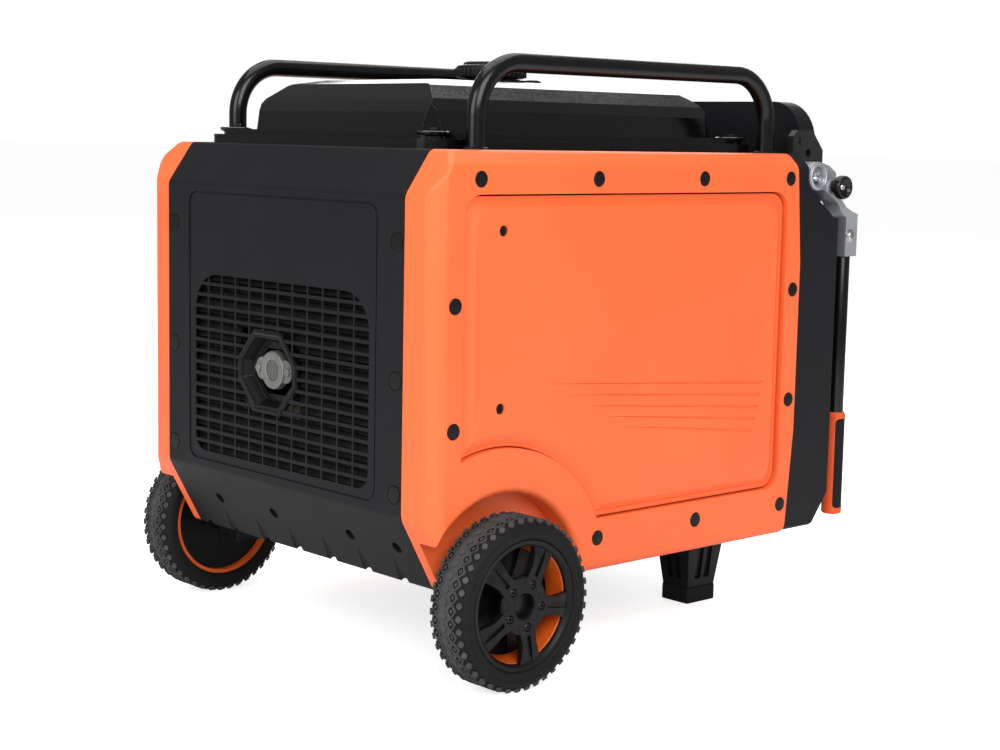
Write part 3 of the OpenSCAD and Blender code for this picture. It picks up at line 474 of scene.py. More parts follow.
castAluminium = metal("castAluminium", {
    "dark": sRgb(176, 180, 186), "light": sRgb(196, 200, 205), "streakScale": 700, "stretch": (1, 1, 1),
    "metallic": 0.75, "roughness": 0.42, "bump": 0.25})
zincSteel = metal("zincSteel", {
    "dark": sRgb(186, 186, 188), "light": sRgb(214, 214, 214), "streakScale": 160, "stretch": (1, 6, 1),
    "metallic": 1.0, "roughness": 0.25, "bump": 0.12})
arresterSteel = metal("arresterSteel", {
    "dark": sRgb(118, 117, 114), "light": sRgb(146, 145, 142), "streakScale": 300, "stretch": (1, 1, 1),
    "metallic": 0.8, "roughness": 0.45, "bump": 0.15})
darkSteel = metal("darkSteel", {
    "dark": sRgb(38, 38, 41), "light": sRgb(52, 52, 55), "streakScale": 260, "stretch": (1, 1, 4),
    "metallic": 0.9, "roughness": 0.34, "bump": 0.12})
paintedSteel = metal("paintedSteel", {
    "dark": sRgb(22, 22, 24), "light": sRgb(30, 30, 32), "streakScale": 500, "stretch": (1, 1, 1),
    "metallic": 0.0, "roughness": 0.38, "bump": 0.2})
heatSteel = metal("heatSteel", {
    "dark": sRgb(92, 82, 70), "light": sRgb(140, 130, 116), "streakScale": 90, "stretch": (1, 1, 8),
    "metallic": 0.9, "roughness": 0.5, "bump": 0.2})
castEngine = metal("castEngine", {
    "dark": sRgb(120, 122, 125), "light": sRgb(150, 152, 155), "streakScale": 420, "stretch": (1, 1, 1),
    "metallic": 0.8, "roughness": 0.55, "bump": 0.5})
castIron = metal("castIron", {
    "dark": sRgb(58, 58, 60), "light": sRgb(84, 84, 86), "streakScale": 380, "stretch": (1, 1, 1),
    "metallic": 0.8, "roughness": 0.6, "bump": 0.5})
brass = metal("brass", {
    "dark": sRgb(176, 140, 66), "light": sRgb(206, 172, 92), "streakScale": 220, "stretch": (1, 5, 1),
    "metallic": 1.0, "roughness": 0.3, "bump": 0.12})
buttonRed = mouldedPlastic("buttonRed", {
    "dark": sRgb(176, 22, 18), "light": sRgb(190, 28, 22), "mottleScale": 12, "grainScale": 600,
    "roughness": 0.3, "rubbed": 0.05, "specular": 0.5, "bump": 0.05})
screenGlass = mouldedPlastic("screenGlass", {
    "dark": sRgb(10, 20, 26), "light": sRgb(14, 26, 34), "mottleScale": 10, "grainScale": 200,
    "roughness": 0.08, "rubbed": 0.04, "specular": 0.6, "bump": 0.01})
markGrey = mouldedPlastic("markGrey", {
    "dark": sRgb(200, 200, 198), "light": sRgb(212, 212, 210), "mottleScale": 12, "grainScale": 600,
    "roughness": 0.5, "rubbed": 0.05, "specular": 0.4, "bump": 0.05})
print("finishes made")


# One convex block with every slope and bevel of the case, d inside its skin
def bodyBlock(d, x1, round=0):
    f = form
    x0, y0, z0, z1 = f["endX"], f["sideY"], f["z0"], f["z1"]
    bandY = y0 - f["cornerIn"]
    bandX = x0 + f["bandIn"]
    planes = [((x0 + f["slopeTop"], 0, z1), (-f["slopeDrop"], 0, f["slopeTop"])),
              ((x0 + f["slopeBottom"], 0, z0), (-f["slopeRise"], 0, -f["slopeBottom"]))]
    for s in sides.values():
        planes += [((x0, s * f["endY"], 0), (f["endY"] - bandY, s * f["bandIn"], 0)),
                   ((bandX, s * bandY, 0), (-1, s, 0)),
                   ((0, s * y0, z1 - f["topBevel"]), (0, s, 1)),
                   ((0, s * y0, z0 + f["bottomBevel"]), (0, s, -1))]
    bm = bmesh.new()
    boxInto(bm, (x0 + d, d - y0, z0 + d), (x1, y0 - d, z1 - d))
    for point, normal in planes:
        normal = Vector(normal).normalized()
        out = bmesh.ops.bisect_plane(bm, geom=bm.verts[:] + bm.edges[:] + bm.faces[:], dist=0.001,
                                     plane_co=Vector(point) - normal * d, plane_no=normal,
                                     clear_outer=True)
        rim = [e for e in out["geom_cut"] if isinstance(e, bmesh.types.BMEdge)]
        bmesh.ops.contextual_create(bm, geom=rim)
    bmesh.ops.recalc_face_normals(bm, faces=bm.faces)
    if round:
        soft = [e for e in bm.edges if e.calc_face_angle(0) > 0.2
                and min(v.co.x for v in e.verts) < x1 - 1]
        bevelEdges(bm, soft, round, 4)
    return bm


# Everything on the grille side of the seam with the control end
def frontZone(gap):
    mid = (form["z0"] + form["z1"]) / 2
    end, middle = form["splitEnd"] - gap, form["splitMid"] - gap
    outline = [(-500, 0), (end, 0), (end, form["z0"]), (middle, mid - 110), (middle, mid + 110),
               (end, form["z1"]), (end, 900), (-500, 900)]
    return prismObject(outline, "xz", -500, 500)


door = {
    "x0": doorLow.x,
    "x1": doorHigh.x,
    "z0": doorLow.z,
    "z1": doorHigh.z,
    "corner": 22,
    "arcCentre": (-8, 103),
    "arc": 178,
    "inside": 6,                   # edge of the door behind the main face
    "thick": 3,
    "gap": 2,
    "hingeGap": 1.5,               # more room at the hinged side
    "margin": 3,
    "slope": 12,
    "screws": [(-10, 325), (-10, 527)],
    "grooves": 5,
}


def doorBlock(d, extra, y0, y1, arcIn=0):
    w = door["x1"] - door["x0"] + 2 * d + extra
    h = door["z1"] - door["z0"] + 2 * d
    outline = roundRect(w, h, door["corner"] + d, (door["x0"] + door["x1"] + extra) / 2,
                        (door["z0"] + door["z1"]) / 2, 8)
    block = prismObject(outline, "xz", y0, y1)
    x, z = door["arcCentre"]
    return cut(block, [cylinderObject((x, 0, z), alongY, door["arc"] - d + arcIn, 1200, 180)])


panel = {
    "archX": 2,
    "arch": 124,
    "wellIn": 35,                  # depth of the wheel well
    "lipRound": 9,
    "plug": 9.5,
    "plugs": [(-45, 585), (140, 585), (326, 585), (494, 585), (153, 154), (329, 154), (497, 154),
              (506, 294), (506, 440), (-80, 305), (-80, 445)],
}


def archCutter(grow=0):
    # flares out at the lip as a quarter round
    y0, r, lip = form["sideY"], panel["arch"] + grow, panel["lipRound"]
    pts = [(0, -(y0 - panel["wellIn"])), (r, -(y0 - panel["wellIn"]))]
    pts += [(r + lip - lip * math.cos(a), -(y0 - lip + lip * math.sin(a)))
            for a in [i * math.pi / 16 for i in range(9)]]
    pts += [(r + lip, -y0 - 4), (0, -y0 - 4)]
    bm = lathe(bmesh.new(), pts, (panel["archX"], 0, axleZ), alongY, 128)
    return newObject("cutter", bm)


def sideShell(name, withDoor):
    y0, wall = form["sideY"], form["wall"]
    shell = newObject(name, bodyBlock(0, form["splitMid"] + 5, form["creaseRound"]), orangePanel)
    hollow = newObject("cutter", bodyBlock(wall, form["splitMid"] + 8))
    well = newObject("cutter", lathe(bmesh.new(), [
        (0, 3 - y0), (panel["arch"] + 12, 3 - y0), (panel["arch"] + wall, 18 - y0),
        (panel["arch"] + wall, wall + panel["wellIn"] - y0), (0, wall + panel["wellIn"] - y0)],
        (panel["archX"], 0, axleZ), alongY, 128))
    inside = newObject("cutter", bodyBlock(1, form["splitMid"] + 8))
    cut(well, [inside], "INTERSECT")
    zone = frontZone(0.3)
    cut(zone, [boxObject((-400, -400, 0), (560, -form["endY"] - 0.3, 900))], "INTERSECT")
    cut(shell, [hollow])
    cut(shell, [zone], "INTERSECT")
    tubeSlot = boxObject((-60, -252.5, form["z1"] - 8), (600, 0, 900))
    cut(shell, [tubeSlot])
    cut(shell, [well], "UNION")
    if withDoor:
        ring = doorBlock(door["gap"] + wall, door["hingeGap"], wall - 0.5 - y0, 12 - y0)
        cut(ring, [doorBlock(door["gap"], door["hingeGap"], -400, 0)])
        cut(shell, [ring], "UNION")
        cut(shell, [doorBlock(door["gap"], door["hingeGap"], -y0 - 5, 13 - y0)])
    axleHole = cylinderObject((0, -240, axleZ), alongY, 12, 80)
    holes = [cylinderObject((x, -y0, z), alongY, panel["plug"], 12, 40) for x, z in panel["plugs"]]
    cut(shell, [archCutter(), axleHole] + holes)
    return finishEdges(shell, 0.9, 2, 30)


def makePanels():
    left = sideShell("sidePanelLeft", True)
    place(left, bodyRoot, "panel_orange", "side_panel_left")
    right = mirrored(sideShell("sidePanelFar", False), "sidePanelRight")
    bpy.data.objects.remove(bpy.data.objects["sidePanelFar"])
    place(right, bodyRoot, "panel_orange", "side_panel_right")
    print("side panels", len(left.data.polygons))


def makeDoor():
    y0, thick, edge, slope = form["sideY"], door["thick"], door["margin"], door["slope"]
    body = doorBlock(0, 0, door["inside"] - y0, door["inside"] + thick - y0)
    # the raised field stands on a long slope, cut back by a cone round the wheel
    back = door["inside"] - y0
    bm = bmesh.new()
    boxInto(bm, (door["x0"] + edge, -y0, door["z0"] + edge), (door["x1"] - edge, back, door["z1"] - edge))
    mid = Vector(((door["x0"] + door["x1"]) / 2, 0, (door["z0"] + door["z1"]) / 2))
    for v in bm.verts:
        if v.co.y < back - 1:
            v.co.x -= math.copysign(slope, v.co.x - mid.x)
            v.co.z -= math.copysign(slope, v.co.z - mid.z)
    base = [f for f in bm.faces if f.normal.y > 0.9]
    out = bmesh.ops.extrude_face_region(bm, geom=base)
    bmesh.ops.translate(bm, vec=(0, 2, 0), verts=vertsOf(out))
    bmesh.ops.delete(bm, geom=base, context="FACES")
    bmesh.ops.recalc_face_normals(bm, faces=bm.faces)
    posts = [e for e in bm.edges if abs(e.verts[0].co.y - e.verts[1].co.y) > 1]
    bevelEdges(bm, posts, 17, 8)
    field = newObject("cutter", bm)
    x, z = door["arcCentre"]
    steep = slope / door["inside"]
    r = door["arc"] + edge
    cone = lathe(bmesh.new(), [(0, -y0 - 6), (r + slope + 6 * steep, -y0 - 6), (r - 6 * steep, back + 6),
                               (0, back + 6)], (x, 0, z), alongY, 180)
    cut(field, [newObject("cutter", cone)])
    cut(body, [field], "UNION")
    cutters = []
    for x, z in door["screws"]:
        cutters.append(cylinderObject((x, -y0, z), alongY, 6.5, 8, 40))
        cutters.append(cylinderObject((x, -y0, z), alongY, 3.2, 40, 24))
    for i in range(door["grooves"]):
        z = 350 - i * 15.5
        right = 452 - i * 4
        left = 52 + i * 34
        bm = prism([(left, z - 1), (right, z - 27), (right, z - 29), (right - 6, z - 30.4)], "xz",
                   1.2 - y0, -y0 - 3)
        cutters.append(newObject("cutter", bm))
    cut(body, cutters)
    return finished(body, "serviceDoor", orangePanel, 1.1, 3, 14)


makePanels()
serviceDoor = makeDoor()
place(serviceDoor, "door", "panel_orange", "service_door")
print("door", len(serviceDoor.data.polygons))


grille = {
    "fieldY": 193,
    "fieldZ": (213, 556),
    "latticeY": 179,
    "latticeZ": (225, 452),
    "columns": 12,
    "rows": 16,
    "bar": 2.6,
    "row": 4.2,
    "vanes": 22,
    "portY": 22,
    "portZ": 340,
    "portW": 106,
    "portH": 84,
    "flutes": [-196, -128, -58, 12, 82, 152, 214],
    "screws": [-206, -118, 38, 157],
    "caps": [(228, 228), (228, 358), (228, 514)],
}


def portOutline(d):
    # an oval port with flattened diagonal sides
    w, h = grille["portW"] / 2 + d, grille["portH"] / 2 + d
    y, z = grille["portY"], grille["portZ"]
    points = [(w, 0.25 * h), (w, -0.25 * h), (0.45 * w, -h), (-0.45 * w, -h), (-w, -0.25 * h),
               (-w, 0.25 * h), (-0.45 * w, h), (0.45 * w, h)]
    return [(y + a, z + b) for a, b in points]


def makeGrille():
    g, f = grille, form
    endX, wall = f["endX"], f["wall"]
    shell = newObject("grillePanel", bodyBlock(0, endX + 75, 3), blackPanel)
    side = f["endY"] - 0.6
    cut(shell, [boxObject((endX - 5, -side, 0), (endX + 75, side, 900))], "INTERSECT")
    # a thicker wall behind the lower slope, for the flutes
    inner = bodyBlock(wall, endX + 90)
    across = Vector((-f["slopeRise"], 0, -f["slopeBottom"])).normalized()
    out = bmesh.ops.bisect_plane(inner, geom=inner.verts[:] + inner.edges[:] + inner.faces[:],
                                 dist=0.001, clear_outer=True, plane_no=across,
                                 plane_co=Vector((endX, 0, f["z0"] + f["slopeRise"])) - across * 15)
    bmesh.ops.contextual_create(inner, geom=[e for e in out["geom_cut"]
                                             if isinstance(e, bmesh.types.BMEdge)])
    bmesh.ops.recalc_face_normals(inner, faces=inner.faces)
    hollow = newObject("cutter", inner)
    cut(hollow, [boxObject((endX + wall, 6 - side, 0), (endX + 95, side - 6, 900))], "INTERSECT")
    cut(shell, [hollow, boxObject((endX + 40, -500, f["z1"] - 30), (900, 500, 900)),
                boxObject((endX + 52, -500, -5), (900, 500, f["z0"] + 20))])
    # the fine groove round the inner field, and the field itself a little lower
    w, h = 2 * g["fieldY"], g["fieldZ"][1] - g["fieldZ"][0]
    mid = sum(g["fieldZ"]) / 2
    ring = prismObject(roundRect(w, h, 16, 0, mid), "yz", endX - 3, endX + 1.8)
    cut(ring, [prismObject(roundRect(w - 5, h - 5, 13.5, 0, mid), "yz", endX - 5, endX + 5)])
    field = prismObject(roundRect(w - 5, h - 5, 13.5, 0, mid), "yz", endX - 3, endX + 0.8)
    cut(shell, [ring, field])
    # lattice holes
    pitchY = (2 * g["latticeY"] + g["bar"]) / g["columns"]
    pitchZ = (g["latticeZ"][1] - g["latticeZ"][0] + g["row"]) / g["rows"]
    bm = bmesh.new()
    for i in range(g["columns"]):
        for j in range(g["rows"]):
            y = -g["latticeY"] + i * pitchY
            z = g["latticeZ"][0] + j * pitchZ
            boxInto(bm, (endX - 3, y, z), (endX + 12, y + pitchY - g["bar"], z + pitchZ - g["row"]))
    holes = newObject("cutter", bm)
    high = g["latticeZ"][1] - g["latticeZ"][0]
    outline = []
    for sy, sz, r, start in ((1, 1, 46, 0), (-1, 1, 46, 90), (-1, -1, 20, 180), (1, -1, 20, 270)):
        outline += arcPoints(sy * (g["latticeY"] - r), sum(g["latticeZ"]) / 2 + sz * (high / 2 - r), r,
                             start, start + 90, 8)
    bounds = prismObject(outline, "yz", endX - 2, endX + 11)
    cut(bounds, [prismObject(portOutline(9), "yz", endX - 9, endX + 20)])
    cut(holes, [bounds], "INTERSECT")
    cut(shell, [holes])
    cut(shell, [prismObject(portOutline(0), "yz", endX - 9, endX + 30)])
    # flutes run down the lower slope and widen
    cutters = []
    slope = Vector((f["slopeBottom"], 0, -f["slopeRise"])).normalized()
    for y in g["flutes"]:
        bm = bmesh.new()
        top = Vector((endX + 2, y, f["z0"] + f["slopeRise"] - 14))
        low = top + slope * 96 + Vector((-4, 8, 0))
        cylinderInto(bm, (top + low) / 2, low - top, 1.0, (low - top).length, 32, 13)
        cutters.append(newObject("cutter", bm))
    for y in g["screws"]:
        at = Vector((endX + 24, y, f["z0"] + f["slopeRise"] - 42))
        cutters.append(cylinderObject(at, (f["slopeRise"], 0, f["slopeBottom"]), 7.5, 9, 32))
    cut(shell, cutters)
    for s in sides.values():
        cut(shell, [cylinderObject((endX, s * y, z), alongX, 11.4, 1.4, 40) for y, z in g["caps"]])
    finishEdges(shell, 0.55, 2, 28)
    place(shell, bodyRoot, "panel_black", "grille_panel")
    print("grille", len(shell.data.polygons))


# Slanted vanes behind the lattice, which stop at the port
def makeLouvres():
    g, x = grille, form["endX"]
    bm = bmesh.new()
    (bottom, top), count, end = g["latticeZ"], g["vanes"], g["latticeY"] + 4
    for i in range(count):
        z = bottom + 6 + i * (top - bottom - 8) / (count - 1)
        vane = [(x + 4.5, z - 5.5), (x + 5.5, z - 5.5 - 1), (x + 11, z + 3.5), (x + 10, z + 4.5)]
        spans = [(-end, end)]
        if abs(z - g["portZ"]) < 52:
            spans = [(-end, g["portY"] - 62), (g["portY"] + 62, end)]
        for a, b in spans:
            prism(vane, "xz", a, b, bm)
    vanes = newObject("grilleVanes", bm, darkPlastic)
    place(vanes, bodyRoot, "panel_black")


# A stepped funnel behind the port, with a thin raised rim in front
def makePort():
    x = form["endX"]
    rings = [(x - 0.6, 7.5), (x - 0.6, 4.5), (x + 2, 1.5), (x + 16, -6), (x + 16, -13), (x + 26, -20)]
    bm = bmesh.new()
    loops = []
    for depth, grow in rings + [(x + 28, -20), (x + 18, -8), (x + 12, 3), (x + 3, 7.5)]:
        verts = [bm.verts.new((depth, a, b)) for a, b in portOutline(grow)]
        edges = [bm.edges.new((verts[i - 1], verts[i])) for i in range(len(verts))]
        loops.append(edges)
    for i in range(len(loops)):
        bmesh.ops.bridge_loops(bm, edges=loops[i - 1] + loops[i])
    bmesh.ops.recalc_face_normals(bm, faces=bm.faces)
    port = newObject("exhaustPort", bm, darkPlastic)
    finishEdges(port, 1.2, 3, 20)
    place(port, bodyRoot, "panel_black")


def makeOutlet():
    # spark arrester: disc with a mesh face, flange ears and two bolts
    low, high = corners("exhaust_outlet")
    mid = (low + high) / 2
    x, y, z = low.x, mid.y, mid.z
    bm = lathe(bmesh.new(), [(13, 4), (13, 1.5), (15, 0.4), (21, 0.4), (23, 1.6), (23.6, 4), (24, 7),
                             (24, 10.5), (11, 10.5), (11, 4)], (x, y, z), alongX, 72)
    ring = newObject("sparkArrester", bm, arresterSteel)
    flange = prismObject([(y + a, z + b) for a, b in roundRect(74, 28, 13, 0, 0, 8)], "yz", x + 4, x + 8)
    cut(ring, [flange], "UNION")
    finishEdges(ring, 0.7, 3)
    place(ring, bodyRoot, "bright_steel", "exhaust_outlet")
    bm = bmesh.new()
    for i in range(9):
        a = -12 + i * 3
        half = math.sqrt(max(1, 13.5 ** 2 - a * a))
        boxInto(bm, (x + 2.4, y + a - 0.5, z - half), (x + 3.2, y + a + 0.5, z + half))
        boxInto(bm, (x + 2.8, y - half, z + a - 0.5), (x + 3.6, y + half, z + a + 0.5))
    mesh = newObject("arresterMesh", bm, arresterSteel, 0)
    place(mesh, bodyRoot, "bright_steel")
    bm = bmesh.new()
    for s in sides.values():
        cylinderInto(bm, (x + 2.4, y + s * 30, z), alongX, 5.2, 3.4, 6)
        cylinderInto(bm, (x + 3.6, y + s * 30, z), alongX, 7, 0.8, 32)
    bolts = newObject("arresterBolts", bm, arresterSteel)
    softEdges(bolts, 0.4, 2)
    place(bolts, bodyRoot, "bright_steel")


makeGrille()
makeLouvres()
makePort()
makeOutlet()


# Domed caps over the panel screws, with a fine gap round them
def makePlugs():
    bm = bmesh.new()
    y0 = form["sideY"]
    for s in sides.values():
        for x, z in panel["plugs"]:
            lathe(bm, [(0, -2.5), (8.9, -2.5), (8.9, 0.1), (8.3, 0.7), (4, 1.0), (0, 1.0)],
                  (x, s * y0, z), (0, s, 0), 40)
        for y, z in grille["caps"]:
            lathe(bm, [(0, -0.4), (10.3, -0.4), (10.3, 0.1), (9.7, 0.6), (5, 0.8), (0, 0.8)],
                  (form["endX"], s * y, z), (-1, 0, 0), 40)
    plugs = newObject("panelPlugs", bm, darkPlastic)
    place(plugs, bodyRoot, "panel_black", "panel_plugs")
    bm = bmesh.new()
    for x, z in door["screws"]:
        lathe(bm, [(0, 2.6), (2.2, 2.6), (2.2, 3.4), (3.4, 3.8), (5.6, 3.2), (6.0, 1.6), (6.0, 0), (2.8, 0),
                   (2.8, -14), (0, -14)], (x, 5 - y0, z), (0, -1, 0), 32)
    screws = newObject("doorScrews", bm, darkSteel)
    place(screws, "door", "dark_steel", "door_screws")


makePlugs()


tank = {
    "z0": coverHigh.z,
    "z1": 701,
    "x0": tankLow.x,
    "x1": tankHigh.x,
    "y": tankHigh.y,
    "bosses": [(x, s * 198) for x in (-38, 478) for s in (-1, 1)],
    "scallop": 34,
    "cap": 226,                    # how far along the tank the cap stands
    "capZ": 707,
    "capGrips": 40,
    "leverZ": 701.3,
    "neck": 30,
}


hoop = {
    "r": 11.5,
    "y": 238,
    "x": (-8, 502),                # the two legs
    "z": 717,                      # middle of the bar
    "bend": 62,
    "foot": 116,
}


cover = {
    "middle": 219,
    "flange": (574, 444, 26),      # length, width and corner of each rounded outline
    "step": (552, 422, 20),
    "rim": (600, 480, 26),
    "inside": (560, 430, 20),
    "thick": 3,
    "shoulder": 251.5,             # half width of the deck beside the lifting handles
}


def coverOutline(name):
    return roundRect(*cover[name], cover["middle"], 0, 8)


def makeTopCover():
    t, f = tank, form
    base, edge = f["z1"] - cover["thick"], f["splitEnd"] - 1
    flange = prismObject(coverOutline("flange"), "xy", f["z1"] - 1, t["z0"])
    step = prismObject(coverOutline("step"), "xy", t["z0"] - 7, t["z0"] + 5)
    rim = prismObject(coverOutline("rim"), "xy", t["z0"] - 7, t["z0"] + 6)
    cut(rim, [step])
    cut(flange, [rim])
    deck = boxObject((f["endX"] + 41, 1 - f["endY"], base), (edge, f["endY"] - 1, f["z1"]))
    wide = boxObject((-59, -cover["shoulder"], base), (edge, cover["shoulder"], f["z1"]))
    cut(deck, [wide, flange], "UNION")
    holes = [prismObject(roundRect(482, 348, 20, 221, 0), "xy", 500, 800)]
    for x in hoop["x"]:
        for s in sides.values():
            holes.append(cylinderObject((x, s * hoop["y"], 640), alongZ, 12, 200, 40))
    holes.append(prismObject(coverOutline("inside"), "xy", 600, f["z1"] + 4))
    cut(deck, holes)
    # small arrow bumps along the flange
    bm = bmesh.new()
    for x in (60, 400):
        for s in sides.values():
            prism([(x - 9, 621), (x, 628), (x + 9, 621), (x, 624)], "xz", s * 222 - 0.5, s * 222 + 0.9, bm)
    finished(deck, "topCover", coverBlack, 1.6, 3)
    place(deck, bodyRoot, "panel_black", "top_cover")
    place(newObject("coverMarks", bm, coverBlack), bodyRoot, "panel_black")
    # cup bosses and their bolts
    cups = bmesh.new()
    bolts = bmesh.new()
    for x, y in t["bosses"]:
        lathe(cups, [(4.2, 0), (15, 0), (15, 3), (19.5, 5), (20.5, 8), (19, 9), (16, 7), (11.5, 4), (4.2, 4)],
              (x, y, t["z0"] - 7), alongZ, 48)
        lathe(bolts, [(0, -10), (4, -10), (4, 0), (10, 0), (10, 1.6), (8.5, 2.4), (0, 2.4)],
              (x, y, t["z0"] - 2.6), alongZ, 40)
        cylinderInto(bolts, (x, y, t["z0"] + 2.6), alongZ, 6.4, 6, 6)
    cup = newObject("bossCups", cups, glossBlack)
    place(cup, bodyRoot, "panel_black")
    bolt = newObject("coverBolts", bolts, darkSteel)
    softEdges(bolt, 0.5, 2)
    place(bolt, bodyRoot, "dark_steel", "cover_bolts")


def makeTank():
    t = tank
    z0, z1, y = t["z0"], t["z1"], t["y"]
    # one outline from the side and one from the end, both crowned
    x = t["x0"]
    long = prismObject([(x, z0), (x + 5, z0 + 24), (x + 14, z0 + 38), (x + 34, z1 - 8), (x + 70, z1 - 2),
                        (166, z1), (398, z1), (428, z1 - 5), (448, z1 - 16), (462, z1 - 36), (t["x1"], z0)],
                       "xz", -400, 400)
    half = [(0, z0), (5, z0 + 26), (14, z0 + 40), (38, z1 - 10), (70, z1 - 2), (110, z1)]
    across = prismObject([(d - y, z) for d, z in half] + [(y - d, z) for d, z in reversed(half)],
                         "yz", -400, 900)
    shell = cut(long, [across], "INTERSECT")
    # two shallow steps in the top behind the cap, and a rib along it
    dips = [prismObject(roundRect(70, 96, 12, 330, 0, 6), "xy", z1 - 4, z1 + 20),
            prismObject(roundRect(52, 96, 12, 402, 0, 6), "xy", z1 - 7, z1 + 20)]
    scallops = [cylinderObject((x, yy, z0 + 50), alongZ, t["scallop"], 140, 72) for x, yy in t["bosses"]]
    cut(shell, scallops + dips)
    finishEdges(shell, 5.5, 5, 16, 60)
    well = boxObject((-20, 12 - y, 560), (462, y - 12, z0 + 4))
    neck = cylinderObject((t["cap"], 0, z1 - 3), alongZ, t["neck"], 22, 64)
    cut(shell, [well, neck], "UNION")
    shell.name = "fuelTank"
    shell.data.materials.clear()
    shell.data.materials.append(glossBlack)
    smoothFaces(shell, 35, False)
    place(shell, bodyRoot, "tank_black", "fuel_tank")
    # ribbed cap: a skirt of grips, a stepped lid and a raised disc
    bm = bmesh.new()
    lathe(bm, [(30.4, 0), (43, 0), (45.2, 1.5), (45.2, 13), (43.5, 15.5), (38, 16.8), (36, 16.8), (35, 19.4),
               (33, 20.8), (0, 20.8), (0, 9), (30.4, 9)], (t["cap"], 0, t["capZ"]), alongZ, 96)
    for i in range(t["capGrips"]):
        a = i * math.pi / (t["capGrips"] / 2)
        at = Vector((t["cap"] + 45 * math.cos(a), 45 * math.sin(a), t["capZ"] + 6.5))
        cylinderInto(bm, at, alongZ, 2.6, 11, 10)
    cap = newObject("fuelCap", bm, darkPlastic)
    softEdges(cap, 0.6, 2)
    place(cap, "fuel_cap", "panel_black", "fuel_cap")
    bm = lathe(bmesh.new(), [(30.5, 0), (40, 0), (40, 3.4), (38.8, 4.5), (30.5, 4.5)],
               (t["cap"], 0, t["leverZ"]), alongZ, 72)
    lever = newObject("ventLever", bm, darkPlastic)
    arm = prismObject(roundRect(66, 22, 9, t["cap"] + 53, 0, 6), "xy", t["leverZ"], t["leverZ"] + 4.5)
    cut(lever, [arm], "UNION")
    cut(lever, [cylinderObject((t["cap"], 0, 703), alongZ, 30.5, 30, 72)])
    tip = cylinderObject((t["cap"] + 76, 0, 705.4), alongZ, 8, 3, 40)
    cut(lever, [tip], "UNION")
    finishEdges(lever, 0.8, 3)
    place(lever, "vent_lever", "panel_black", "vent_lever")


def sweepTube(bm, points, radius, segments=28):
    # a ring at each point, turned along the path
    loops = []
    for i, p in enumerate(points):
        ahead = (points[min(i + 1, len(points) - 1)] - points[max(i - 1, 0)]).normalized()
        turn = Vector(alongZ).rotation_difference(ahead).to_matrix().to_4x4()
        if abs(ahead.y) < 1e-6:
            turn = Matrix.Rotation(math.atan2(ahead.x, ahead.z), 4, "Y")
        verts = bmesh.ops.create_circle(bm, cap_ends=False, segments=segments, radius=radius,
                                        matrix=Matrix.Translation(p) @ turn)["verts"]
        loops.append(list({e for v in verts for e in v.link_edges}))
    for a, b in zip(loops, loops[1:]):
        bmesh.ops.bridge_loops(bm, edges=a + b)
    for loop in (loops[0], loops[-1]):
        bmesh.ops.contextual_create(bm, geom=loop)
    bmesh.ops.recalc_face_normals(bm, faces=bm.faces)


def makeHoops():
    h = hoop
    for name, s in sides.items():
        pts = [Vector((h["x"][0], s * h["y"], h["foot"]))]
        for a, b in arcPoints(h["x"][0] + h["bend"], h["z"] - h["bend"], h["bend"], 180, 90, 14):
            pts.append(Vector((a, s * h["y"], b)))
        for a, b in arcPoints(h["x"][1] - h["bend"], h["z"] - h["bend"], h["bend"], 90, 0, 14):
            pts.append(Vector((a, s * h["y"], b)))
        pts.append(Vector((h["x"][1], s * h["y"], h["foot"])))
        bm = bmesh.new()
        sweepTube(bm, pts, h["r"], 32)
        tube = newObject("liftHandle" + name, bm, tubeBlack)
        place(tube, bodyRoot, "tube_black", "lift_handle_" + name.lower())
        # plastic collars where the legs pass the cover
        bm = bmesh.new()
        for x in h["x"]:
            lathe(bm, [(11.6, 0), (14.5, 0), (14.5, 1.6), (13, 2.6), (11.6, 2.6)],
                  (x, s * h["y"], form["z1"]), alongZ, 40)
        place(newObject("handleCollars" + name, bm, darkPlastic), bodyRoot, "panel_black")


makeTopCover()
makeTank()
makeHoops()
print("top done")


control = {
    "rim": controlHigh.x,
    "hoodX": 560,
    "hoodZ": controlHigh.z,
    "hoodRound": 48,
    "half": 250,                   # half width of the hood
    "rimWidth": 10,
    "face": 578,
    "faceT": 4,
    "faceWidth": 452,
    "z0": 180,
    "z1": 600,
}


def controlBlock():
    c, f = control, form
    outline = [(500, f["z0"]), (560, f["z0"]), (598, 160), (c["rim"], 258), (c["rim"], 480), (602, 548),
               (596, 580), (588, c["hoodZ"]), (c["hoodX"], c["hoodZ"]), (c["hoodX"], f["z1"]), (500, f["z1"])]
    side = prismObject(outline, "xz", -400, 400)
    bm = bmesh.new()
    bm.from_mesh(side.data)
    bmesh.ops.triangulate(bm, faces=bm.faces)
    bm.to_mesh(side.data)
    bm.free()
    y = f["sideY"]
    wide = [(-y, 120), (8 - y, 112), (y - 8, 112), (y, 120), (y, 600), (y - 17, 617), (17 - y, 617),
            (-y, 600)]
    section = prismObject(wide, "yz", 400, 700)
    hood = prismObject(roundRect(2 * c["half"], c["hoodZ"] - 300, c["hoodRound"], 0,
                                 (c["hoodZ"] + 300) / 2, 10), "yz", 400, 700)
    plan = prismObject([(400, -y), (597, -y), (c["rim"], 15 - y), (c["rim"], y - 15), (597, y), (400, y)],
                       "xy", 0, 900)
    cut(section, [hood], "UNION")
    cut(side, [section, plan], "INTERSECT")
    return side


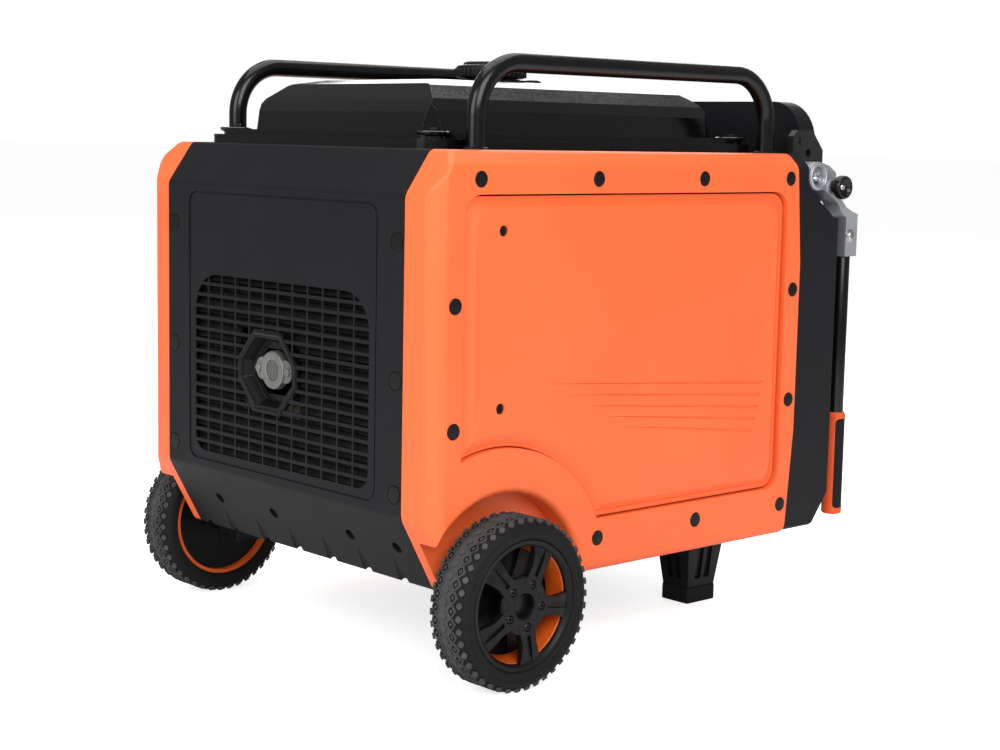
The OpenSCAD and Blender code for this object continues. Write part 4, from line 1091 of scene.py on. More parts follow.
def makeControlShell():
    c, f, wall = control, form, form["wall"]
    shell = controlBlock()
    y, seat, hood = f["sideY"] - wall, c["face"] - 4, c["hoodX"] + wall
    back = boxObject((400, -y, 115), (seat, y, 614))
    inner = prismObject([(400, 115), (557, 115), (seat, 146), (seat, 683), (hood, 683), (hood, 614),
                         (400, 614)], "xz", -y, y)
    cut(back, [boxObject((400, -y, 500), (700, y, 700))], "UNION")
    cut(back, [inner], "INTERSECT")
    hoodIn = prismObject(roundRect(2 * (c["half"] - wall), c["hoodZ"] - wall - 300, c["hoodRound"] - wall, 0,
                                   (c["hoodZ"] - wall + 300) / 2, 10), "yz", 400, 700)
    low = boxObject((400, -y, 100), (700, y, 560))
    cut(hoodIn, [low], "UNION")
    cut(back, [hoodIn], "INTERSECT")
    recess = prismObject(roundRect(2 * (c["half"] - c["rimWidth"]), c["hoodZ"] - 12 - c["z0"] + 20, 24, 0,
                                   (c["hoodZ"] - 12 + c["z0"] - 20) / 2, 8), "yz", c["face"] - 5, 800)
    under = boxObject((-1, -400, 100), (seat, 400, f["z0"] + wall + 2))
    zone = frontZone(-0.3)
    cut(zone, [boxObject((0, -400, 0), (800, 400, f["z1"] + 0.1))], "INTERSECT")
    cutters = [back, recess, under, zone]
    for s in sides.values():
        cutters.append(cylinderObject((hoop["x"][1], s * hoop["y"], 600), alongZ, 12, 400, 40))
        low, high = span(s, c["half"], 400)
        curve = [(530, 618), (530, 584)] + arcPoints(552, 584, 22, 180, 250, 6)
        curve += [(590, 532), (800, 532), (800, 618)]
        cutters.append(prismObject(curve, "xz", low, high))
    cut(shell, cutters)
    finished(shell, "controlShell", blackPanel, 1.8, 3, 24)
    place(shell, bodyRoot, "panel_black", "control_shell")
    print("control shell", len(shell.data.polygons))


dials = {
    "start": (-150, 500, 13),
    "engine": (-150, 420),
    "eco": (-60, 420, 22, 30),
    "breaker": (30, 420, 30, 30),
    "sockets": [(-120, 300), (-60, 300), (0, 300), (60, 300)],
    "twist": (140, 300),
    "screen": (20, 150, 470, 545),
    "stud": (190, 215),
}


# A block over the display's outline, wider by grow, from x0 to x1
def screenBlock(grow, corner, x0, x1):
    y0, y1, z0, z1 = dials["screen"]
    outline = roundRect(y1 - y0 + grow, z1 - z0 + grow, corner, (y0 + y1) / 2, (z0 + z1) / 2)
    return prismObject(outline, "yz", x0, x1)


def makeControlFace():
    c, x = control, control["face"]
    # bezel that closes the recess round the face plate
    top, bottom = c["hoodZ"] - 10.5, c["z0"] - 21.5
    tall, middle = c["z1"] - c["z0"], (c["z0"] + c["z1"]) / 2
    bezel = prismObject(roundRect(2 * (c["half"] - c["rimWidth"]) + 3, top - bottom, 24, 0,
                                  (top + bottom) / 2, 8), "yz", x - 5, x - 0.2, "faceBezel", blackPanel)
    cut(bezel, [prismObject(roundRect(c["faceWidth"] - 14, tall - 14, 16, 0, middle, 8), "yz",
                            x - 20, x + 20)])
    finishEdges(bezel, 0.6, 2)
    place(bezel, bodyRoot, "panel_black")
    plate = prismObject(roundRect(c["faceWidth"], tall, 20, 0, middle, 8), "yz", x, x + c["faceT"])
    cutters = [screenBlock(0, 6, x - 9, x + 9)]
    y, z, r = dials["start"]
    cutters.append(cylinderObject((x, y, z), alongX, r + 0.1, 40))
    y, z = dials["engine"]
    cutters.append(cylinderObject((x, y, z), alongX, 8.2, 40))
    for key in ("eco", "breaker"):
        y, z, w, h = dials[key]
        cutters.append(boxObject((x - 9, y - w / 2 - 0.3, z - h / 2 - 0.3),
                                 (x + 9, y + w / 2 + 0.3, z + h / 2 + 0.3)))
    for y, z in dials["sockets"]:
        cutters.append(cylinderObject((x, y, z), alongX, 21, 40))
    cutters.append(cylinderObject((x, *dials["twist"]), alongX, 31, 40))
    cutters.append(cylinderObject((x, *dials["stud"]), alongX, 4, 40))
    cut(plate, cutters)
    finished(plate, "controlFace", darkPlastic, 0.6, 2)
    place(plate, bodyRoot, "panel_black", "control_face")
    # raised bezels, panel screws and printed marks
    x += c["faceT"]
    bm = bmesh.new()
    for key in ("eco", "breaker"):
        y, z, w, h = dials[key]
        frameOut = prismObject(roundRect(w + 9, h + 9, 4, y, z), "yz", x - 0.5, x + 2)
        cut(frameOut, [prismObject(roundRect(w + 1.4, h + 1.4, 1, y, z), "yz", x - 5, x + 5)])
        finished(frameOut, key + "Bezel", glossBlack, 0.6, 2)
        place(frameOut, bodyRoot, "gloss_black")
    y, z, r = dials["start"]
    lathe(bm, [(13.6, 0), (20, 0), (20, 1.6), (17, 2.6), (13.6, 2.6)], (x, y, z), alongX, 48)
    for y in (-214, 214):
        for z in (192, 390, 588):
            lathe(bm, [(0, -3), (4.2, -3), (4.2, 0.8), (3, 1.8), (1.6, 1.8), (1.4, 0.8), (0, 0.8)],
                  (x, y, z), alongX, 24)
    place(newObject("faceScrews", bm, darkSteel), bodyRoot, "dark_steel")
    bm = bmesh.new()
    y, z = dials["engine"]
    for a in (60, 90, 120):
        at = Vector((x + 0.1, y + 29 * math.cos(math.radians(a)), z + 29 * math.sin(math.radians(a))))
        cylinderInto(bm, at, alongX, 1.6, 0.5, 20)
    for y, z in dials["sockets"]:
        boxInto(bm, (x - 0.1, y - 20, z - 36), (x + 0.3, y + 20, z - 35))
    y0, y1, z0, z1 = dials["screen"]
    boxInto(bm, (x - 0.1, y0, z0 - 9), (x + 0.3, y1, z0 - 8))
    place(newObject("faceMarks", bm, markGrey, 0), bodyRoot, "panel_black")


makeControlShell()
makeControlFace()


def makeControls():
    x = control["face"] + control["faceT"]
    # display with a raised surround and lit bars
    y0, y1, z0, z1 = dials["screen"]
    glass = screenBlock(-0.4, 6, x - 10, x + 1)
    finished(glass, "displayWindow", screenGlass, 0.8, 2)
    place(glass, bodyRoot, "screen", "display_window")
    surround = screenBlock(12, 10, x, x + 2.4)
    cut(surround, [screenBlock(-4, 4, x - 3, x + 5)])
    finished(surround, "displaySurround", glossBlack, 0.8, 2)
    place(surround, bodyRoot, "gloss_black")
    bm = bmesh.new()
    for i in range(8):
        boxInto(bm, (x + 0.9, y0 + 14 + i * 13, z0 + 12), (x + 1.2, y0 + 22 + i * 13, z0 + 16 + i * 3))
    for i in range(3):
        boxInto(bm, (x + 0.9, y0 + 20 + i * 34, z1 - 22), (x + 1.2, y0 + 44 + i * 34, z1 - 14))
    place(newObject("displayBars", bm, markGrey, 0), bodyRoot, "screen")
    # push button with a dished top
    y, z, r = dials["start"]
    bm = lathe(bmesh.new(), [(0, -15), (r + 3, -15), (r + 3, -12), (r, -12), (r, 3.6), (r - 1.2, 5),
                             (r - 3, 5), (r - 4.4, 4.2), (0, 3.6)], (x, y, z), alongX, 56)
    place(newObject("startButton", bm, buttonRed), "start_button", "button_red", "start_button")
    # knob with a grip bar and a pointer
    y, z = dials["engine"]
    bm = lathe(bmesh.new(), [(0, -14), (8, -14), (8, 0.3), (22, 0.3), (22, 5.5), (19.5, 8), (0, 8)],
               (x, y, z), alongX, 56)
    knob = newObject("engineKnob", bm, darkPlastic)
    cut(knob, [prismObject(roundRect(10, 42, 4, y, z), "yz", x + 5, x + 20)], "UNION")
    finishEdges(knob, 1.2, 3)
    place(knob, "engine_knob", "knob_black", "engine_knob")
    bm = bmesh.new()
    boxInto(bm, (x + 19.9, y - 0.9, z + 6), (x + 20.3, y + 0.9, z + 18))
    place(newObject("knobPointer", bm, markGrey, 0), "engine_knob", "knob_black")
    for key, body in (("eco", "eco_rocker"), ("breaker", "breaker_rocker")):
        y, z, w, h = dials[key]
        rocker = boxObject((x - 16, y - w / 2, z - h / 2), (x + 8, y + w / 2, z + h / 2))
        cut(rocker, [cylinderObject((x - 6, y, z), alongY, h / 2, w, 72)], "INTERSECT")
        cut(rocker, [cylinderObject((x + 16, y, z), alongY, 10.5, w * 2, 72)])
        finished(rocker, key + "Rocker", darkPlastic, 0.8, 2)
        place(rocker, body, "knob_black", body)
        bm = bmesh.new()
        boxInto(bm, (x + 4, y - 0.7, z + 7.4), (x + 5.4, y + 0.7, z + 11.4))
        place(newObject(key + "Mark", bm, markGrey, 0), body, "knob_black")


def makeSockets():
    x = control["face"] + control["faceT"]
    blocks = []
    for y, z in dials["sockets"]:
        block = prismObject(roundRect(50, 50, 6, y, z), "yz", x, x + 3)
        cut(block, [cylinderObject((x - 14, y, z), alongX, 20.8, 32, 48)], "UNION")
        cut(block, [cylinderObject((x + 3, y, z), alongX, 17, 2.4, 48)])
        cutters = [boxObject((x - 20, y + d - 1.2, z - 2), (x + 9, y + d + 1.2, z + 8)) for d in (-6.5, 6.5)]
        cut(block, cutters + [cylinderObject((x, y, z - 9), alongX, 2.6, 40, 24)])
        blocks.append(finishEdges(block, 0.7, 2))
    y, z = dials["twist"]
    bm = lathe(bmesh.new(), [(0, -34), (30.8, -34), (30.8, 0), (36, 0), (36, 3), (34.6, 4), (27, 4),
                             (25, 2), (25, -6), (0, -6)], (x, y, z), alongX, 72)
    twist = newObject("twist", bm)
    slots = []
    for a in (20, 110, 200, 290):
        turn = Matrix.Rotation(math.radians(a), 3, "X")
        bm = bmesh.new()
        boxInto(bm, (x - 30, -4, 13), (x + 9, 4, 15.5))
        bmesh.ops.transform(bm, matrix=turn.to_4x4(), verts=bm.verts)
        bmesh.ops.translate(bm, vec=(0, y, z), verts=bm.verts)
        slots.append(newObject("cutter", bm))
    cut(twist, slots)
    blocks.append(finishEdges(twist, 0.5, 2))
    outlets = merged(blocks, "outletBlocks", darkPlastic)
    place(outlets, bodyRoot, "knob_black", "outlets")
    flap = prismObject(roundRect(76, 82, 10, y, z + 3), "yz", x + 4.5, x + 9)
    cut(flap, [cylinderObject((x + 6, y, z + 44), alongY, 3, 40, 32)], "UNION")
    cut(flap, [prismObject(roundRect(56, 52, 8, y, z - 2), "yz", x + 8.2, x + 20)])
    finished(flap, "outletFlap", darkPlastic, 1.2, 3)
    place(flap, "outlet_cover", "knob_black", "outlet_cover")
    y, z = dials["stud"]
    thread = [(4 - 0.35 * (i % 2), 2 + i * 0.6) for i in range(1, 22)]
    bm = lathe(bmesh.new(), [(0, -10), (4, -10), (4, 0), (9, 0), (9, 2), (4, 2)] + thread
               + [(3.5, 15.6), (3.5, 23.2), (2.8, 24), (0, 24)], (x, y, z), alongX, 32)
    place(newObject("groundStud", bm, brass), bodyRoot, "stud_brass", "ground_stud")
    nut = prismObject(roundRect(34, 4, 1.9, y, z), "yz", x + 4, x + 14)
    cut(nut, [cylinderObject((x + 6, y, z), alongX, 8, 8, 40)], "UNION")
    cut(nut, [cylinderObject((x + 6, y, z), alongX, 4.1, 40, 32)])
    finished(nut, "groundNut", brass, 1, 3)
    place(nut, bodyRoot, "stud_brass", "ground_nut")


makeControls()
makeSockets()
print("control end done")


wheel = {
    "inner": -tyreHigh.y,          # distance of the tyre's inner face from the middle
    "outer": -tyreLow.y,
    "tread": 101.6,
    "base": 99.8,                  # radius between the tread blocks
    "seat": 77,
    "blocks": 42,                  # in each row round the tyre
    "rows": [(-13, 0, 11.4), (0, 0.5, 7.6), (13, 0, 11.4), (-24, 0.5, 6.4), (24, 0.5, 6.4)],
    "ringed": 9,                   # blocks wider than this have a ring groove
    "shoulderLean": 38,
    "spokes": [72 * k - 8 for k in range(5)],
    "boltAt": 26,
}


# A raised block with a ring groove, laid on the tread; the groove is painted dark as shade
def treadBlock(bm, s, angle, along, size):
    own = bmesh.new()
    outline = roundRect(size, size, 0.3 * size, 0, 0, 2)
    face = own.faces.new([own.verts.new((a, b, wheel["base"] - 1)) for a, b in outline])
    out = bmesh.ops.extrude_face_region(own, geom=[face])
    bmesh.ops.translate(own, verts=vertsOf(out), vec=(0, 0, wheel["tread"] - wheel["base"] + 1))
    bmesh.ops.recalc_face_normals(own, faces=own.faces)
    top = max(own.faces, key=lambda f: f.calc_center_median().z)
    if size > wheel["ringed"]:
        bmesh.ops.inset_region(own, faces=[top], thickness=0.14 * size)
        # the ring groove's faces take slot 1, the dark tyre rubber, as painted shade in the groove
        for share, depth in ((0.04, -1.3), (0.12, 0), (0.04, 1.2)):
            shadedGroove = bmesh.ops.inset_region(own, faces=[top], thickness=share * size, depth=depth)
            for f in shadedGroove["faces"]:
                f.material_index = 1
    bmesh.ops.rotate(own, verts=own.verts, cent=(0, 0, 0), matrix=Matrix.Rotation(math.radians(45), 3, "Z"))
    bmesh.ops.scale(own, verts=own.verts, vec=(1.08, 0.92, 1))
    if abs(along) > 20:
        lean = math.radians(math.copysign(wheel["shoulderLean"], -along))
        bmesh.ops.translate(own, verts=own.verts, vec=(0, 0, -1.6))
        bmesh.ops.rotate(own, verts=own.verts, cent=(0, 0, wheel["base"]),
                         matrix=Matrix.Rotation(lean, 3, "X"))
    bmesh.ops.translate(own, verts=own.verts, vec=(0, along, 0))
    bmesh.ops.rotate(own, verts=own.verts, cent=(0, 0, 0), matrix=Matrix.Rotation(angle, 3, "Y"))
    bmesh.ops.translate(own, verts=own.verts, vec=(0, s * (wheel["inner"] + wheel["outer"]) / 2, axleZ))
    join(bm, own)


# A profile of (radius, distance from the middle) turned round the axle
def turnedOnAxle(profile, s, segments, bm=None):
    return lathe(bm or bmesh.new(), profile, (0, 0, axleZ), (0, s, 0), segments)


# Points given as (outwards, across) for the spoke at an angle
def onSpoke(points, angle):
    c, d = math.cos(math.radians(angle)), math.sin(math.radians(angle))
    return [(u * c - v * d, axleZ + u * d + v * c) for u, v in points]


# The same outline given by one side and mirrored to the other
def bothSides(half):
    return [(u, -v) for u, v in half] + [(u, v) for u, v in reversed(half)]


def makeTyre(side, s):
    w, body = wheel, "wheel_" + side.lower()
    a, b, seat = w["inner"], w["outer"], w["seat"]
    profile = [(seat, a + 4), (80, a + 0.6), (86, a), (92, a + 0.8), (95.6, a + 4), (98.4, a + 9),
               (w["base"], a + 14), (w["base"], b - 14), (98.4, b - 9), (95.8, b - 4.2), (93.4, b - 1.6),
               (90.4, b - 0.3), (88.6, b - 0.3), (88, b - 0.9), (84, b - 0.6), (79.4, b - 1.6), (77.6, b - 3),
               (seat, b - 5)]
    place(newObject("tyre" + side, turnedOnAxle(profile, s, 144), tyreRubber, 40), body, "tyre_rubber",
          "tyre_" + side.lower())
    bm = bmesh.new()
    for along, shift, size in w["rows"]:
        for i in range(w["blocks"]):
            treadBlock(bm, s, (i + shift) * 2 * math.pi / w["blocks"], along, size)
    # the dusty band that shows between the blocks
    band = w["base"] + 0.15
    turnedOnAxle([(97.5, a + 13), (band, a + 14.5), (band, b - 14.5), (97.5, b - 13)], s, 144, bm)
    tread = newObject("tread" + side, bm, treadRubber, 30)
    # slot 1 is the dark tyre rubber, painted into the ring grooves of the tread blocks as shade
    tread.data.materials.append(tyreRubber)
    place(tread, body, "tyre_rubber")
    barrel = [(seat, a + 5), (seat, b - 12.3), (71.8, b - 12.3), (69.4, b - 11), (67.8, b - 11.6),
              (66.4, b - 20), (63, b - 34), (64.5, b - 38), (71.5, b - 40), (72, a + 5)]
    rim = newObject("rim" + side, turnedOnAxle(barrel, s, 128), rimOrange, 40)
    softEdges(rim, 0.5, 2, 40)
    place(rim, body, "rim_orange", "rim_" + side.lower())


# Black five-spoke centre with its outer ring
def makeHubCover(side, s):
    w, body = wheel, "wheel_" + side.lower()
    b = w["outer"]
    ring = newObject("ring", turnedOnAxle([
        (68.6, b - 10.8), (76.8, b - 10.8), (76.8, b - 3.4), (75.6, b - 2.8), (72, b - 3.4), (69.4, b - 5.4),
        (68.2, b - 8)], s, 128))
    plate = newObject("plate", turnedOnAxle([
        (14, b - 14), (33, b - 14), (35, b - 6.4), (33.4, b - 3.6), (17, b - 3), (15.2, b - 4),
        (14, b - 7)], s, 96))
    spoke = bothSides([(20, 14), (34, 11.5), (46, 10.5), (60, 13.5), (74, 17)])
    cut(plate, [prismObject(onSpoke(spoke, angle), "xz", *span(s, b - 14, b - 3)) for angle in w["spokes"]],
        "UNION")
    slope = newObject("cutter", turnedOnAxle([
        (52, b + 4), (52, b - 2.9), (60, b - 3.8), (71, b - 6.4), (76, b - 6.4), (76, b + 4)], s, 96))
    under = newObject("cutter", turnedOnAxle([
        (30, b - 20), (80, b - 20), (80, b - 12), (50, b - 11), (36, b - 11)], s, 96))
    cutters = [slope, under]
    for angle in w["spokes"]:
        cutters.append(prismObject(onSpoke(bothSides([(36, 2.6), (69, 3.6)]), angle), "xz",
                                   *span(s, b + 5, b - 6.5)))
        x, z = onSpoke([(w["boltAt"], 0)], angle)[0]
        cutters.append(cylinderObject((x, s * (b - 3), z), alongY, 5.2, 7, 32))
    cut(plate, cutters)
    finishEdges(plate, 0.9, 2, 28)
    place(merged([ring, plate], "hubCover" + side, darkPlastic, 30), body, "knob_black",
          "hub_cover_" + side.lower())


# Spoke bolts, hub tube and the ribs on the inner side
def makeHub(side, s):
    w, body = wheel, "wheel_" + side.lower()
    a, b = w["inner"], w["outer"]
    bm = bmesh.new()
    for angle in w["spokes"]:
        x, z = onSpoke([(w["boltAt"], 0)], angle)[0]
        lathe(bm, [(0, 2.6), (1.6, 2.6), (1.8, 4.6), (3.4, 4.6), (4.2, 3.8), (4.2, 0), (0, 0)],
              (x, s * (b - 7.6), z), (0, s, 0), 20)
    place(newObject("hubBolts" + side, bm, darkSteel), body, "dark_steel")
    inner = newObject("hubTube" + side, turnedOnAxle([
        (8.2, a + 1), (17, a + 1), (17, a + 18), (71.8, a + 14), (71.8, a + 18), (17, a + 22), (17, b - 14),
        (8.2, b - 14)], s, 96), darkPlastic)
    rib = bothSides([(14, 7), (40, 6), (69, 10)])
    cut(inner, [prismObject(onSpoke(rib, angle), "xz", *span(s, a + 16, a + 24)) for angle in w["spokes"]],
        "UNION")
    finishEdges(inner, 1.2, 2, 30)
    place(inner, body, "knob_black")


for side, s in sides.items():
    makeTyre(side, s)
    makeHubCover(side, s)
    makeHub(side, s)
print("wheels done")


tow = {
    "pivot": (552, 588),
    "lock": (582, 574),
    "y": 277,
    "x": 627,
    "tube": 10.5,
    "tubeZ": (130, 481),
    "plate": (250.3, 260),         # near and far face of the fixed plate
    "plateScrew": (546, 634),
    "boss": 260.3,                 # where the arm's bosses start, just clear of the plate
    "armThick": 26,
    "grip": (124, 266),
    "gripRound": 13.8,
}


# Fixed plate on the case that the arm turns against
def makeTowPlate(side, s):
    px, pz = tow["pivot"]
    plate = prismObject([(534, 576), (534, 640), (542, 648), (574, 648), (597, 622), (597, 550), (588, 540)],
                        "xz", *span(s, *tow["plate"]), "towPlate" + side, paintedSteel)
    holes = [cylinderObject((px, s * 255, pz), alongY, 8, 40, 40)]
    holes += [cylinderObject((x, s * 255, z), alongY, 5.2, 40, 32)
              for x, z in (tow["lock"], (px + 14, pz + 30))]
    x, z = tow["plateScrew"]
    holes.append(cylinderObject((x, s * 261, z), alongY, 4.6, 3, 24))
    cut(plate, holes)
    finishEdges(plate, 1.0, 2)
    place(plate, bodyRoot, "plate_black", *(["tow_brackets"] if side == "Left" else []))
    bm = lathe(bmesh.new(), [(0, 0), (4.2, 0), (4.2, 2), (3, 3), (0, 3)], (x, s * 257.6, z), (0, s, 0), 24)
    place(newObject("plateScrew" + side, bm, darkSteel), bodyRoot, "dark_steel")


def makeTowArm(side, s):
    t = tow
    (px, pz), (lx, lz), boss = t["pivot"], t["lock"], t["boss"]
    near, far = t["y"] - t["armThick"] / 2, t["y"] + t["armThick"] / 2
    arm = prismObject([(px - 11, pz - 15.5), (px - 16, pz + 8), (px - 4, pz + 18.5), (px + 8, pz + 17.5),
                       (574, 602), (590, 592), (599, 578), (607, 560), (622, 546), (640.6, 538), (640.6, 480),
                       (615.8, 480), (615.8, 532), (606, 538), (596, 552), (584, 560), (566, 570)],
                      "xz", *span(s, near, far))
    cut(arm, [cylinderObject((px, s * (boss + 290) / 2, pz), alongY, 19, 29.7, 72),
              cylinderObject((lx, s * (boss + 293) / 2, lz), alongY, 11, 32.7, 56)], "UNION")
    waist = prismObject([(588, 600), (650, 600), (650, 534), (604, 548), (592, 572)], "xz",
                        *span(s, far - 5, far + 5))
    cut(arm, [cylinderObject((px, s * 290, pz), alongY, 12.6, 18, 48),
              cylinderObject((px, s * 260, pz), alongY, 8.1, 60, 48),
              cylinderObject((lx, s * 280, lz), alongY, 5.1, 60, 32), waist])
    finishEdges(arm, 2.2, 4, 26)
    ring = newObject("ring", lathe(bmesh.new(), [
        (14.2, 0), (17.6, 0), (17.6, 1.8), (16.4, 2.6), (15.2, 2.6), (14.2, 1.8)],
        (px, s * (far - 0.4), pz), (0, s, 0), 64))
    place(merged([arm, ring], "towArm" + side, castAluminium), "tow_" + side.lower(), "cast_arm",
          "tow_arm_" + side.lower())
    # pivot bolt with its socket
    bm = lathe(bmesh.new(), [(0, 250.6), (8, 250.6), (8, 281), (12.2, 281), (12.2, 285), (11, 286),
                             (6.4, 286), (6.0, 281.5), (0, 281.5)], (px, 0, pz), (0, s, 0), 48)
    place(newObject("pivotBolt" + side, bm, zincSteel), bodyRoot, "bright_steel",
          *(["pivot_bolts"] if side == "Left" else []))
    # heel screw and washer
    x, z = t["x"] - 2, 508
    bm = lathe(bmesh.new(), [(0, 0), (9, 0), (9, 1.2), (6, 1.8), (6, 3), (4.6, 4.2), (0, 4.6)],
               (x, s * (far - 0.6), z), (0, s, 0), 40)
    screw = newObject("heelScrew" + side, bm, zincSteel)
    low, high = span(s, far + 2.6, far + 8)
    cut(screw, [boxObject((x - w, low, z - h), (x + w, high, z + h)) for w, h in ((3.4, 0.7), (0.7, 3.4))])
    place(screw, "tow_" + side.lower(), "bright_steel")


# Lock plunger with its dished knob and silver screw
def makeLock(side, s):
    (lx, lz), body = tow["lock"], "plunger_" + side.lower()
    bm = lathe(bmesh.new(), [(0, 260.4), (5, 260.4), (5, 293.4), (8.6, 293.4), (8.6, 299), (6.6, 300),
                             (6.6, 302), (14.4, 302), (16, 303.6), (16, 309), (14.6, 312.6), (12.6, 313),
                             (10.6, 309.5), (5, 306.5), (0, 306)], (lx, 0, lz), (0, s, 0), 56)
    knob = newObject("lockKnob" + side, bm, tubeBlack)
    softEdges(knob, 0.7, 2, 40)
    place(knob, body, "knob_black", "lock_plunger_" + side.lower())
    bm = lathe(bmesh.new(), [(0, 305), (4.4, 305), (4.4, 307.6), (3.2, 308.8), (1.2, 308.8), (1.2, 307.8),
                             (0, 307.8)], (lx, 0, lz), (0, s, 0), 32)
    place(newObject("knobScrew" + side, bm, zincSteel), body, "bright_steel")


# Tube and grip sleeve, with the insert let into its outer side
def makeTowTube(side, s):
    t, body = tow, "tow_" + side.lower()
    x, y, r = t["x"], t["y"], t["gripRound"]
    (z0, z1), (g0, g1) = t["tubeZ"], t["grip"]
    tube = cylinderObject((x, s * y, (z0 + z1) / 2), alongZ, t["tube"], z1 - z0, 48)
    tube.name = "towTube" + side
    tube.data.materials.append(tubeBlack)
    softEdges(tube, 0.8, 2)
    smoothFaces(tube, 35, False)
    place(tube, body, "tube_black", "tow_tube_" + side.lower())
    grip = newObject("towGrip" + side, lathe(bmesh.new(), [
        (0, g0), (r - 2.4, g0), (r - 0.6, g0 + 1), (r, g0 + 3), (r, g1 - 5), (r - 1, g1 - 2), (r - 2.2, g1),
        (10.6, g1), (10.6, g0 + 6), (0, g0 + 6)], (x, s * y, 0), alongZ, 56), gripOrange)
    middle = (g0 + g1) / 2
    cut(grip, [prismObject(roundRect(20.4, g1 - g0 - 18, 5, x, middle), "xz", *span(s, y + 8.6, y + r + 3))])
    finishEdges(grip, 0.7, 2, 30)
    place(grip, body, "grip_orange", "tow_grip_" + side.lower())
    pad = cylinderObject((x, s * y, middle), alongZ, r - 0.5, g1 - g0 - 21, 56)
    cut(pad, [prismObject(roundRect(19.2, g1 - g0 - 20, 4.6, x, middle), "xz", *span(s, y + 4, y + r + 3))],
        "INTERSECT")
    finished(pad, "gripInsert" + side, padRubber, 0.5, 2, 30)
    place(pad, body, "soft_rubber")


for side, s in sides.items():
    makeTowPlate(side, s)
    makeTowArm(side, s)
    makeLock(side, s)
    makeTowTube(side, s)
print("tow handles done")


foot = {
    "x": 480,
    "y": 149,
    "bottom": (50, 42, 6),         # length, width and height of the leg's lower end
    "top": (78, 68, 115.5),
    "pad": (57, 49, 22),
    "pocket": 4,
    "pocketZ": (32, 104),
}


# Pockets on the four faces of a leg, in pairs with a rib between them
def pocketCutters(cx, cy):
    (bw, bd, z0), (tw, td, z1) = foot["bottom"], foot["top"]
    (low, high), d = foot["pocketZ"], foot["pocket"]
    cutters = []
    for plane, half, other, mid, across in (("yz", (bd, td), 11, cy, cx), ("xz", (bw, tw), 9, cx, cy)):
        for t in (-1, 1):
            under, over = (mid + t * (half[0] + (half[1] - half[0]) * (z - z0) / (z1 - z0)) / 2
                           for z in (low, high))
            outline = [(under + t * 8, low - 2), (under - t * d, low + 4), (over - t * d, high - 4),
                       (over + t * 8, high)]
            for u in (-1, 1):
                ends = sorted((across + u * 3, across + u * (3 + other)))
                cutters.append(prismObject(outline, plane, *ends))
    return cutters


def makeFeet():
    legs, pads = [], []
    (bw, bd, z0), (tw, td, z1) = foot["bottom"], foot["top"]
    length, width, height = foot["pad"]
    for s in sides.values():
        cx, cy = foot["x"], s * foot["y"]
        leg = boxObject((cx - tw / 2, cy - td / 2, z0), (cx + tw / 2, cy + td / 2, z1))
        middle = Vector((cx * mm + axleX, cy * mm, 0))
        for v in leg.data.vertices:
            if v.co.z < (z0 + z1) / 2 * mm:
                v.co.x = middle.x + (v.co.x - middle.x) * bw / tw
                v.co.y = middle.y + (v.co.y - middle.y) * bd / td
        legs.append(cut(leg, pocketCutters(cx, cy)))
        pads.append(prismObject(roundRect(length, width, 4, cx, cy, 6), "xy", 0, height))
    for name, pair, finish, slotName, soft, node in (
            ("footLegs", legs, darkPlastic, "panel_black", 1.2, "foot_legs"),
            ("footPads", pads, padRubber, "soft_rubber", 1.6, "foot_pads")):
        both = cut(pair[0], [pair[1]], "UNION")
        finished(both, name, finish, soft, 2, 28)
        place(both, bodyRoot, slotName, node)


makeFeet()


# Finishes of the pieces that stay as they were drawn
kept = {
    "base_tray": darkSteel, "axle": darkSteel, "axle_nuts": darkSteel, "engine_block": castEngine,
    "cylinder_head": castEngine, "muffler": heatSteel, "air_filter": darkPlastic,
    "carburettor": castAluminium, "stator": castIron, "rotor": castIron, "cooling_fan": darkPlastic,
    "inverter_module": castAluminium, "battery": darkPlastic, "door_hinge_bar": paintedSteel,
    "door_hinge_pins": zincSteel,
}
for name, finish in kept.items():
    for spot in frame["nodes"][name].material_slots:
        spot.material = finish
print("kept pieces finished")


# Floor, lights and camera
studio = {
    "lens": 66.45,
    "place": (-1.67245, -1.82288, 0.63429),
    "turn": -42.37,
    "tilt": 7.42,
    "roll": 1.16,
    "floor": (0.93, 0.93, 0.93, 1),
    "floorGlow": 0.72,
    "ambient": 0.35,
    "lights": [                    # name, place, size, power, aim
        ("keyLight", (-1.6, -3.2, 2.6), 2.6, 110, (0, 0, 0.3)),
        ("endLight", (-3.4, -0.4, 1.8), 2.2, 55, (0, 0, 0.3)),
        ("topLight", (0.2, 0.3, 3.4), 3.0, 60, (0, 0, 0.4)),
        ("farLight", (2.4, 2.2, 2.0), 2.2, 40, (0, 0, 0.4))],
}


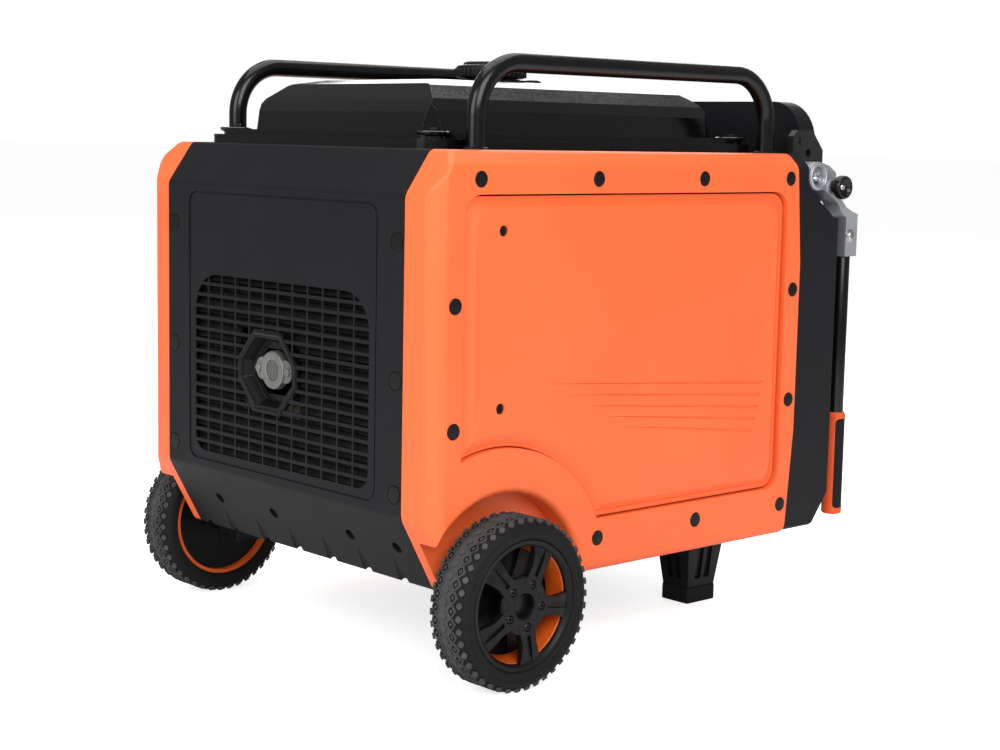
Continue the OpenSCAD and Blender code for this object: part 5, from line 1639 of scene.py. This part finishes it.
def makeFloor():
    bm = bmesh.new()
    bmesh.ops.create_grid(bm, x_segments=1, y_segments=1, size=60000)
    floor = newObject("floor", bm, None, 0)
    f = Finish("floorPaper")
    cloud = f.noise(3, 3, 0.5)
    tone = f.mix(f.ramp(cloud, 0.3, 0.7), (0.9, 0.9, 0.9, 1), studio["floor"])
    paper = f.set(Base_Color=tone, Roughness=0.9)
    floor.data.materials.append(paper)
    # the paper glows for the camera only, so it doesn't light the object from below
    nodes, links = paper.node_tree.nodes, paper.node_tree.links
    glow, both, seen = (nodes.new("ShaderNode" + k) for k in ("Emission", "AddShader", "MixShader"))
    glow.inputs[1].default_value = studio["floorGlow"]
    plain = nodes["Principled BSDF"].outputs[0]
    links.new(plain, both.inputs[0])
    links.new(glow.outputs[0], both.inputs[1])
    links.new(nodes.new("ShaderNodeLightPath").outputs["Is Camera Ray"], seen.inputs[0])
    links.new(plain, seen.inputs[1])
    links.new(both.outputs[0], seen.inputs[2])
    links.new(seen.outputs[0], nodes["Material Output"].inputs[0])


def makeWorld():
    world = bpy.data.worlds.new("studio")
    bpy.context.scene.world = world
    world.use_nodes = True
    # what the camera sees is white paper; what lights the object is dimmer
    nodes, links = world.node_tree.nodes, world.node_tree.links
    seen = nodes["Background"]
    seen.inputs[0].default_value = (1, 1, 1, 1)
    soft = nodes.new("ShaderNodeBackground")
    soft.inputs[1].default_value = studio["ambient"]
    path = nodes.new("ShaderNodeLightPath")
    blend = nodes.new("ShaderNodeMixShader")
    links.new(path.outputs["Is Camera Ray"], blend.inputs[0])
    links.new(soft.outputs[0], blend.inputs[1])
    links.new(seen.outputs[0], blend.inputs[2])
    links.new(blend.outputs[0], nodes["World Output"].inputs[0])


def makeLights():
    for name, at, size, power, look in studio["lights"]:
        light = bpy.data.lights.new(name, "AREA")
        light.size = size
        light.energy = power
        lamp = linked(name, light)
        lamp.location = at
        lamp.rotation_euler = (Vector(look) - Vector(at)).to_track_quat("-Z", "Y").to_euler()


def makeCamera():
    camera = bpy.data.cameras.new("camera")
    camera.lens = studio["lens"]
    camera.sensor_width = 36
    eye = linked("camera", camera)
    az, el, roll = (math.radians(studio[k]) for k in ("turn", "tilt", "roll"))
    ahead = Vector((-math.sin(az) * math.cos(el), math.cos(az) * math.cos(el), -math.sin(el)))
    side = Vector((math.cos(az), math.sin(az), 0))
    up = side.cross(ahead)
    r = side * math.cos(roll) + up * math.sin(roll)
    u = up * math.cos(roll) - side * math.sin(roll)
    turn = Matrix((r, u, -ahead)).transposed()
    eye.matrix_world = Matrix.Translation(studio["place"]) @ turn.to_4x4()
    bpy.context.scene.camera = eye


makeFloor()
makeWorld()
makeLights()
makeCamera()
bpy.context.scene.view_settings.view_transform = "Standard"
print("studio done")

import json
